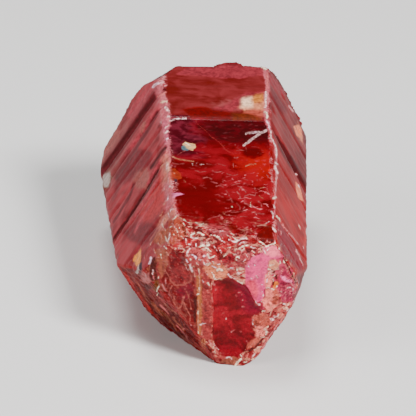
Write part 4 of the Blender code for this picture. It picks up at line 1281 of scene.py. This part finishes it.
def side_colour(n):
    """Satin rose, softly banded across the crystal, with painted shade in its grooves and a painted sheen
    along the upper left edge. It gives the bands' tone too.
    """
    broad = n.noise((2.6, 1.7, 2.6), 4.0, 0.6)
    fine = n.noise((2.2, 0.34, 2.2), 3.0, 0.5)
    mottle = n.noise((0.9, 0.8, 0.9), 5.0, 0.6, shift=3.0)
    tone = n.plus(n.times(broad, 0.50), n.times(fine, 0.10), n.times(mottle, 0.40))
    left = n.shade(tone, 0.38, 0.60, ROSE_DARK, ROSE)
    right = n.shade(tone, 0.40, 0.60, ROSE_RED_DARK, ROSE_RED)
    right = n.over(right, left, n.rise(n.plus(n.z, n.times(mottle, 1.5)), 2.0, -0.8), 0.85)
    dusk = n.shade(tone, 0.38, 0.62, DUSK, DUSK_ROSE)
    right = n.over(right, dusk, n.rise(n.plus(n.y, n.times(mottle, 6.0)), 12.0, 17.5))
    colour = n.over(left, right, n.rise(n.x, -0.5, 0.5))
    far_left = n.times(n.rise(n.x, -3.9, -5.2), n.rise(n.y, 12.5, 15.5))
    colour = n.over(colour, ASHEN, far_left, n.rise(mottle, 0.3, 0.6), 0.7)
    # painted sheen: pale rose along the upper left edge, towards the far end
    halo = n.times(n.rise(n.stored("near_top"), 0.9, 0.1), n.rise(n.x, -1.0, -1.5), n.rise(n.y, 8.0, 11.0))
    colour = n.over(colour, EDGE_SHEEN, halo, n.rise(mottle, 0.35, 0.55), 0.8)
    # painted shade in the grooves, where the surface is sunk below its broad face
    colour = n.over(colour, GROOVE_SHADE, n.rise(n.plus(n.stored("sunk"), n.sway(mottle, 0.30)), 0.02, 0.30), 0.8)
    for centre, size, mark in SIDE_MARKS:
        colour = n.over(colour, mark, n.spot(centre, size), 0.85)
    return colour, tone


def near_colour(n, cloud):
    """The clear near part of the top face: deep reds with a dark zone behind and, at the right, a painted
    glow of light shining through.
    """
    drift = n.sway(cloud, 3.0)
    colour = n.shade(cloud, 0.38, 0.62, BLOOD, CRIMSON)
    deep = n.spot((-0.9, 5.0, 4.3), (1.9, 1.7, 2.0), ragged=0.3, softness=0.5)
    colour = n.over(colour, BLOOD, deep, 0.85)
    # painted glow of light shining through the stone, at the right
    glow = n.spot((2.5, 8.6, 4.6), (1.1, 1.6, 2.0), ragged=0.4, softness=0.7)
    colour = n.over(colour, SCARLET_GLOW, glow, 0.8)
    dark = n.times(n.rise(n.plus(n.y, drift), 10.0, 11.6), n.rise(n.plus(n.x, drift), -1.0, 0.0))
    murk = n.shade(n.noise((0.7, 0.5, 0.6), 4.0, 0.8, 6.0), 0.42, 0.62, MAROON, MAROON_LIGHT)
    colour = n.over(colour, murk, dark, 0.95)
    blob = n.spot((2.2, 9.9, 4.6), (0.6, 0.6, 1.0), ragged=0.3)
    colour = n.over(colour, DARK_RED, blob, 0.8)
    plum = n.times(n.rise(n.plus(n.x, drift), -0.2, -1.2), n.rise(n.y, 8.8, 9.8))
    murk = n.shade(n.noise((0.6, 0.5, 0.6), 4.0, 0.8, 8.0), 0.40, 0.64, PLUM_DARK, PLUM)
    return n.over(colour, murk, plum, 0.9)


def far_colour(n, cloud):
    """The far part of the top face, behind the step: brick red under a painted hazy sheen, finely lined
    across.
    """
    lined = n.noise((1.6, 0.30, 1.6), 4.0, 0.9)
    # its lighter tone is a painted sheen
    colour = n.shade(n.plus(n.times(lined, 0.3), n.times(cloud, 0.7)), 0.38, 0.62, BRICK, BRICK_SHEEN)
    redder = n.spot((-0.6, 13.9, 5.0), (0.9, 0.5, 2.0), ragged=0.3)
    colour = n.over(colour, BLOOD, redder, 0.8)
    pale = n.spot((1.5, 14.7, 5.1), (1.3, 0.55, 2.0), (0, 0, 20), ragged=0.4, softness=0.6)
    return n.over(colour, FAR_ROSE, pale, 0.5)


def top_colour(n):
    """The top face, the share of its far part, and the share that pale flecks cover."""
    cloud = n.noise((1.7, 1.3, 1.7), 4.0, 0.8)
    far = n.rise(n.plus(n.y, n.times(n.wobble, 0.12)), 13.38, 13.50)
    colour = n.over(near_colour(n, cloud), far_colour(n, cloud), far)
    field = n.times(n.rise(n.x, -0.6, 1.0), n.rise(n.y, 9.4, 7.4))
    # painted glow: a brighter red over the near right, where light shines through the stone
    colour = n.over(colour, RED_GLOW, field, n.rise(cloud, 0.38, 0.58), 0.55)
    # painted shade: the walls of the step, which lean away from the top, darkened to maroon
    colour = n.over(colour, MAROON, n.rise(n.stored("lean"), 0.28, 0.55))
    patchy = n.rise(n.noise((0.9, 0.7, 0.9), 3.0, shift=4.0), 0.42, 0.62)
    broken = n.rise(n.noise((0.30, 0.24, 0.3), 2.0, shift=6.0), 0.50, 0.62)
    lines = n.level(n.noise((0.75, 0.50, 0.5), 2.5, 0.6, 1.0), 0.050)
    flecks = n.times(lines, broken, patchy, n.plus(n.times(field, 0.8), 0.15), n.left(far))
    return n.over(colour, FLECK, flecks), far, flecks


def crackle(n):
    """Pale curved flakes that run mostly across: the shares of their bright cores and of their dull halos.
    The cores' cream is partly a painted highlight.
    """
    bend = n.noise((1.5, 0.62, 0.42), 3.0, 0.6, 1.0)
    slant = n.noise((1.8, 0.50, 0.42), 2.5, 0.4, 5.0, turn=(0, 24, -20))
    curl = n.noise((0.60, 0.42, 0.34), 2.5, 0.4, 7.0)
    broken = n.rise(n.noise((0.34, 0.26, 0.22), 2.0, shift=6.0), 0.45, 0.60)
    strength = n.rise(n.noise((1.2, 0.8, 0.8), 3.0, shift=9.0), 0.40, 0.60)
    cores = n.most(n.level(bend, 0.045), n.level(slant, 0.030), n.times(n.level(curl, 0.050), 0.8))
    halos = n.most(n.level(bend, 0.11), n.level(slant, 0.08))
    return n.times(cores, broken, strength, 0.6), n.times(halos, strength, 0.6)


def cheek_colour(n):
    """Dull brown-red stone with looping tan veins, and tan crumbs at its left."""
    colour = n.shade(n.noise((0.8, 0.8, 1.0), 4.0, 0.8), 0.36, 0.62, CHEEK_DARK, CHEEK_BROWN)
    loops = n.level(n.noise((1.0, 1.0, 1.3), 2.5, 0.8, 2.0), 0.040, 0.55)
    colour = n.over(colour, CHEEK_VEIN, loops, 0.5)
    crumbs = n.rise(n.cell_tone((0.20, 0.3, 0.24)), 0.62, 0.80)
    return n.over(colour, TAN, crumbs, n.rise(n.x, -2.7, -3.3), 0.6)


def under_colour(n):
    """The slanting lower left of the front: dark red with tan streaks, and a painted red glow along its edge,
    where light shines through.
    """
    streak = n.noise((0.9, 1.4, 0.16), 4.0, 0.4, turn=(0, 38, 0))
    colour = n.shade(streak, 0.40, 0.58, DARK_RED, UNDER_RED)
    colour = n.over(colour, UNDER_TAN, n.rise(streak, 0.58, 0.68), 0.6)
    # painted glow: rose red along the edges, where light shines through
    edge = n.times(n.rise(n.stored("edge"), 0.30, 0.10), n.rise(n.stored("near_top"), 2.0, 3.0))
    return n.over(colour, ROSE_RED, edge, 0.8)


def window_colour(n):
    """The clear window: crimson, with magenta at the right and a darker, streaked lower part."""
    cloud = n.noise((0.9, 0.9, 0.8), 4.0, 0.8, shift=2.0)
    colour = n.shade(cloud, 0.36, 0.64, WINDOW_DARK, WINDOW_RED)
    right = n.times(n.rise(n.plus(n.x, n.times(n.z, 0.3)), 1.0, 1.8), n.rise(n.z, -0.9, -0.2))
    colour = n.over(colour, MAGENTA, right, 0.9)
    streaks = n.rise(n.noise((0.7, 0.7, 0.22), 4.0, 0.8, shift=6.0), 0.45, 0.62)
    colour = n.over(colour, WINDOW_STREAK, n.rise(n.z, -0.4, -1.2), n.rise(n.z, -2.9, -2.4), streaks, 0.3)
    colour = n.tinted(colour, n.between(n.rise(n.z, -1.4, -2.2), 1.0, 0.72))
    fine = n.noise(0.15, 4.0, 0.6, 5.0)
    colour = n.tinted(colour, n.between(n.rise(fine, 0.36, 0.62), 0.80, 1.16))
    specks = n.rise(n.noise((0.075, 0.07, 0.07), 2.0, 0.3, 9.0), 0.64, 0.72)
    return n.over(colour, WINDOW_SPECK, specks, n.rise(cloud, 0.46, 0.60), 0.6)


def rib_colour(n, beside):
    """The upright rib beside the window: grainy brown and tan with a golden crest, which is a painted
    highlight along its ridge.
    """
    strand = n.noise((0.14, 0.5, 0.9), 4.0, 0.6)
    colour = n.shade(strand, 0.38, 0.60, RIB_DARK, RIB_TAN)
    # the golden crest: a painted highlight along the rib's ridge
    crest = n.times(n.rise(beside, -0.95, -0.80), n.rise(beside, -0.60, -0.72))
    return n.over(colour, RIB_CREST, crest, n.rise(strand, 0.40, 0.56), 0.8)


def back_colour(n, grit):
    """The broken back end: dull red facets, each of its own tone, with paler ridges, which are painted
    glints, and frost near its edges.
    """
    broad = n.noise((1.6, 1.6, 1.3), 5.0, 1.0, 3.0)
    tone = n.plus(n.times(n.cell_tone((1.2, 1.1, 1.0), 4.0), 0.15), n.times(broad, 0.85))
    colour = n.shade(tone, 0.36, 0.62, BACK_DARK, BACK_ROSE)
    dull = n.rise(n.noise((1.0, 1.0, 0.8), 4.0, 0.8, 9.0), 0.52, 0.66)
    colour = n.over(colour, BACK_DULL, dull, 0.6)
    # painted glints: paler thin ridges over the broken facets
    ridges = n.level(n.noise((1.4, 1.2, 0.9), 2.0, 0.8, 6.0), 0.020)
    colour = n.over(colour, BACK_RIDGE, ridges, n.rise(grit, 0.48, 0.60), 0.5)
    return n.over(colour, BLUSH, n.rise(n.stored("edge"), 0.22, 0.04), n.rise(grit, 0.40, 0.60), 0.6)


def crumb_colour(n):
    """A crust of pale, pink and red crumbs, and the crumbs' tone."""
    broad = n.noise((0.5, 0.5, 0.4), 4.0, 0.6, 3.0)
    tone = n.plus(n.times(n.cell_tone((0.26, 0.30, 0.20)), 0.6), n.times(broad, 0.6))
    colour = n.shade(tone, 0.35, 0.60, CRUMB_RED, CRUMB_ROSE)
    colour = n.shade(tone, 0.70, 0.82, colour, CRUMB_PALE)
    return n.shade(tone, 0.86, 0.94, colour, CREAM), tone


def front_colour(n, colour):
    """The front end over the other faces, the share of its bright flakes, and the height of its crumbs."""
    brow = n.stored("on_brow")
    brow_stone = n.shade(n.noise((0.7, 0.5, 0.4), 4.0, 0.6), 0.38, 0.62, BROW_DARK, BROW_RED)
    temple_stone = n.shade(n.noise(0.5, 4.0, 0.5), 0.40, 0.60, TEMPLE_RED, MAUVE)
    colour = n.over(colour, brow_stone, brow)
    colour = n.over(colour, cheek_colour(n), n.stored("on_cheek"))
    colour = n.over(colour, under_colour(n), n.stored("on_under"))
    colour = n.over(colour, temple_stone, n.stored("on_temple"))
    crumbs, crumb_tone = crumb_colour(n)
    crust = n.calc("MINIMUM", n.plus(n.stored("on_window"), n.stored("on_jaw")), 1.0)
    colour = n.over(colour, crumbs, crust)

    calm = n.spot((2.4, 1.9, 4.1), (0.7, 0.55, 1.0), ragged=0.3)
    flaked = n.times(
        n.rise(n.plus(n.y, n.times(n.wobble, 1.2)), 3.3, 2.2),
        n.rise(n.z, 1.7, 2.3),
        n.rise(n.x, -3.4, -2.8),
        n.left(n.times(calm, 0.85)),
    )
    cores, halos = crackle(n)
    cores = n.times(cores, flaked)
    colour = n.over(colour, BLUSH, halos, flaked, 0.55)
    # the crackle's cream cores: pale crackle, partly painted highlights
    colour = n.over(colour, CREAM, cores)

    beside = n.plus(n.x, n.times(n.z, 0.08))
    across = n.times(n.rise(beside, -1.05, -0.95), n.rise(beside, -0.20, -0.30))
    rib = n.times(across, n.rise(n.y, 2.6, 2.2), n.rise(n.z, 2.6, 2.2), n.left(brow))
    colour = n.over(colour, rib_colour(n, beside), rib)
    colour = n.over(colour, window_colour(n), n.stored("glass"))
    return colour, cores, n.times(crumb_tone, crust, 0.5)


def worn_edges(n, colour, grit):
    """Frost on the two long top edges, wider in places, over a colour; its pale beads are partly painted
    glints. It gives the frost's share too.
    """
    bead = n.rise(n.noise(0.14, 3.0, 0.5, 2.0), 0.46, 0.58)
    width = n.noise((0.5, 0.9, 0.5), 3.0, shift=8.0)
    rim = n.stored("rim")
    ragged = n.times(n.plus(n.sway(grit, 0.9), n.sway(width, 1.4)), n.rise(rim, 0.02, 0.30))
    worn = n.times(n.rise(n.plus(rim, ragged), 0.16, 0.62), n.rise(n.y, 1.4, 2.0))
    frost = n.times(worn, bead)
    colour = n.over(colour, WORN_ROSE, worn, 0.65)
    # frost in beads, partly painted glints
    return n.over(colour, FROST, frost, 0.7), frost


def laid_patches(n, colour, mottle):
    """The patches and soft lines that the points store, over a colour, and the share that they cover."""
    stored = n.stored("cover")
    cover = n.times(n.rise(n.plus(stored, n.sway(mottle, 1.1)), 0.12, 0.88), n.rise(stored, 0.02, 0.25))
    laid = n.tinted(n.stored("cover_colour", "Vector"), n.between(n.rise(mottle, 0.36, 0.62), 0.66, 1.22))
    return n.over(colour, laid, cover, 0.95), cover


def crust_grains(n, colour, mottle):
    """Dark pits, painted shade between the crumbs, and pale sparks, painted glints, over a colour, where the
    crust is crumbly.
    """
    crumbly = n.stored("crumbly")
    grain = n.noise((0.17, 0.15, 0.14), 3.0, 0.5, 5.0)
    # painted shade: the crumbs darkened in pits
    colour = n.over(colour, n.tinted(colour, 0.24), n.rise(grain, 0.48, 0.36), crumbly, 0.85)
    # painted glints on the crumbs
    return n.over(colour, CRUMB_GLINT, n.rise(grain, 0.57, 0.65), n.rise(mottle, 0.44, 0.60), crumbly, 0.65)


def laid_flakes(n, colour, grit):
    """The flakes that the points store, over a colour, and the share that they cover."""
    field = n.stored("flake")
    fine = n.noise((0.10, 0.09, 0.085), 3.0, 0.4, 5.0)
    clean = n.plus(n.stored("on_top"), n.stored("on_under"))
    colour = n.over(colour, FLAKE_HALO, n.rise(field, 0.02, 0.5), n.rise(clean, 1.0, 0.0), 0.35)
    flake = n.rise(n.plus(field, n.sway(fine, 1.6)), 0.36, 0.70)
    flake = n.times(flake, n.rise(field, 0.05, 0.30), n.between(n.rise(grit, 0.40, 0.56), 0.45, 1.0))
    # the flakes' brighter cores, partly painted highlights
    bright = n.times(n.rise(field, 0.2, 0.9), n.rise(grit, 0.34, 0.56))
    laid = n.tinted(n.stored("flake_colour", "Vector"), n.between(bright, 0.55, 1.05))
    return n.over(colour, laid, flake, 0.95), flake


def ruby():
    """The crystal's one material."""
    material = bpy.data.materials.new("ruby")
    material.use_nodes = True
    n = Nodes(material)
    grit = n.noise((0.16, 0.14, 0.14), 4.0, 0.4)
    mottle = n.plus(n.times(grit, 0.45), n.times(n.noise((0.34, 0.30, 0.30), 4.0, 0.8, 4.0), 0.55))
    on_top = n.stored("on_top")
    colour, tone = side_colour(n)
    top, far, flecks = top_colour(n)
    colour = n.over(colour, top, on_top)
    colour = n.over(colour, back_colour(n, grit), n.stored("on_back"))
    colour, cores, crumbs = front_colour(n, colour)
    colour, frost = worn_edges(n, colour, grit)
    colour, cover = laid_patches(n, colour, mottle)
    colour = crust_grains(n, colour, mottle)
    colour, flake = laid_flakes(n, colour, grit)

    near = n.times(on_top, n.left(far))
    bare = n.times(n.left(n.most(frost, flecks, cover)), n.rise(n.stored("lean"), 0.25, 0.10))
    smooth = n.times(n.most(n.plus(near, n.times(on_top, far, 0.5)), n.stored("glass")), bare)
    height = n.plus(n.times(tone, 0.2), n.times(grit, 0.2), cores, crumbs)
    bump = n.add("ShaderNodeBump", {"Height": height, "Strength": n.between(smooth, 0.7, 0.05)})
    bump.inputs["Distance"].default_value = BUMP_DISTANCE

    shader = material.node_tree.nodes["Principled BSDF"]
    n.feed(shader.inputs["Base Color"], colour)
    n.feed(shader.inputs["Normal"], bump.outputs[0])
    n.feed(shader.inputs["Roughness"], n.between(frost, n.between(smooth, SATIN, GLASSY), FROSTED))
    n.feed(shader.inputs["Transmission Weight"], n.times(near, bare, n.left(cores), CLEARNESS))
    n.feed(shader.inputs["Coat Weight"], n.times(n.most(cores, frost, flake), COAT))
    shader.inputs["Coat Roughness"].default_value = COAT_ROUGHNESS
    shader.inputs["IOR"].default_value = IOR
    shader.inputs["Specular IOR Level"].default_value = SPECULAR
    absorption = n.add("ShaderNodeVolumeAbsorption")
    absorption.inputs["Color"].default_value = INNER_RED
    absorption.inputs["Density"].default_value = ABSORPTION
    n.feed(material.node_tree.nodes["Material Output"].inputs["Volume"], absorption.outputs[0])
    return material


# ---- The scene ---------------------------------------------------------------------------------

def camera():
    """A long lens that looks down along the crystal from in front of it."""
    made = bpy.data.objects.new("camera", bpy.data.cameras.new("camera"))
    made.data.lens = CAMERA_LENS
    made.data.clip_start = 0.01
    made.matrix_world = view()
    bpy.context.scene.collection.objects.link(made)
    bpy.context.scene.camera = made


def area_light(name, place, size, watts):
    """A soft square light aimed at the crystal."""
    made = bpy.data.objects.new(name, bpy.data.lights.new(name, "AREA"))
    made.data.size = size
    made.data.energy = watts
    made.location = place
    made.rotation_euler = (Vector(place) - CAMERA_TARGET).to_track_quat("Z", "Y").to_euler()
    bpy.context.scene.collection.objects.link(made)


def studio():
    """A pale floor, soft lights and a dim surround."""
    for light in LIGHTS:
        area_light(*light)
    world = bpy.data.worlds.new("surround")
    world.use_nodes = True
    background = world.node_tree.nodes["Background"]
    background.inputs["Color"].default_value = SURROUND_COLOUR
    background.inputs["Strength"].default_value = SURROUND_STRENGTH
    bpy.context.scene.world = world

    bpy.ops.mesh.primitive_plane_add(size=FLOOR_SIZE)
    floor = bpy.context.active_object
    floor.name = "floor"
    material = bpy.data.materials.new("pale floor")
    material.use_nodes = True
    shader = material.node_tree.nodes["Principled BSDF"]
    shader.inputs["Base Color"].default_value = FLOOR_COLOUR
    shader.inputs["Roughness"].default_value = FLOOR_ROUGHNESS
    floor.data.materials.append(material)


def crystal():
    """The finished crystal, which stands for its plain solid."""
    made = fine_mesh()
    shape_surface(made.data)
    made.data.transform(lie_down())
    rest_flat(made.data)
    made.data.shade_smooth()
    made.data.materials.clear()
    made.data.materials.append(ruby())
    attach(made, "root")
    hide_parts(NODE)


camera()
studio()
crystal()
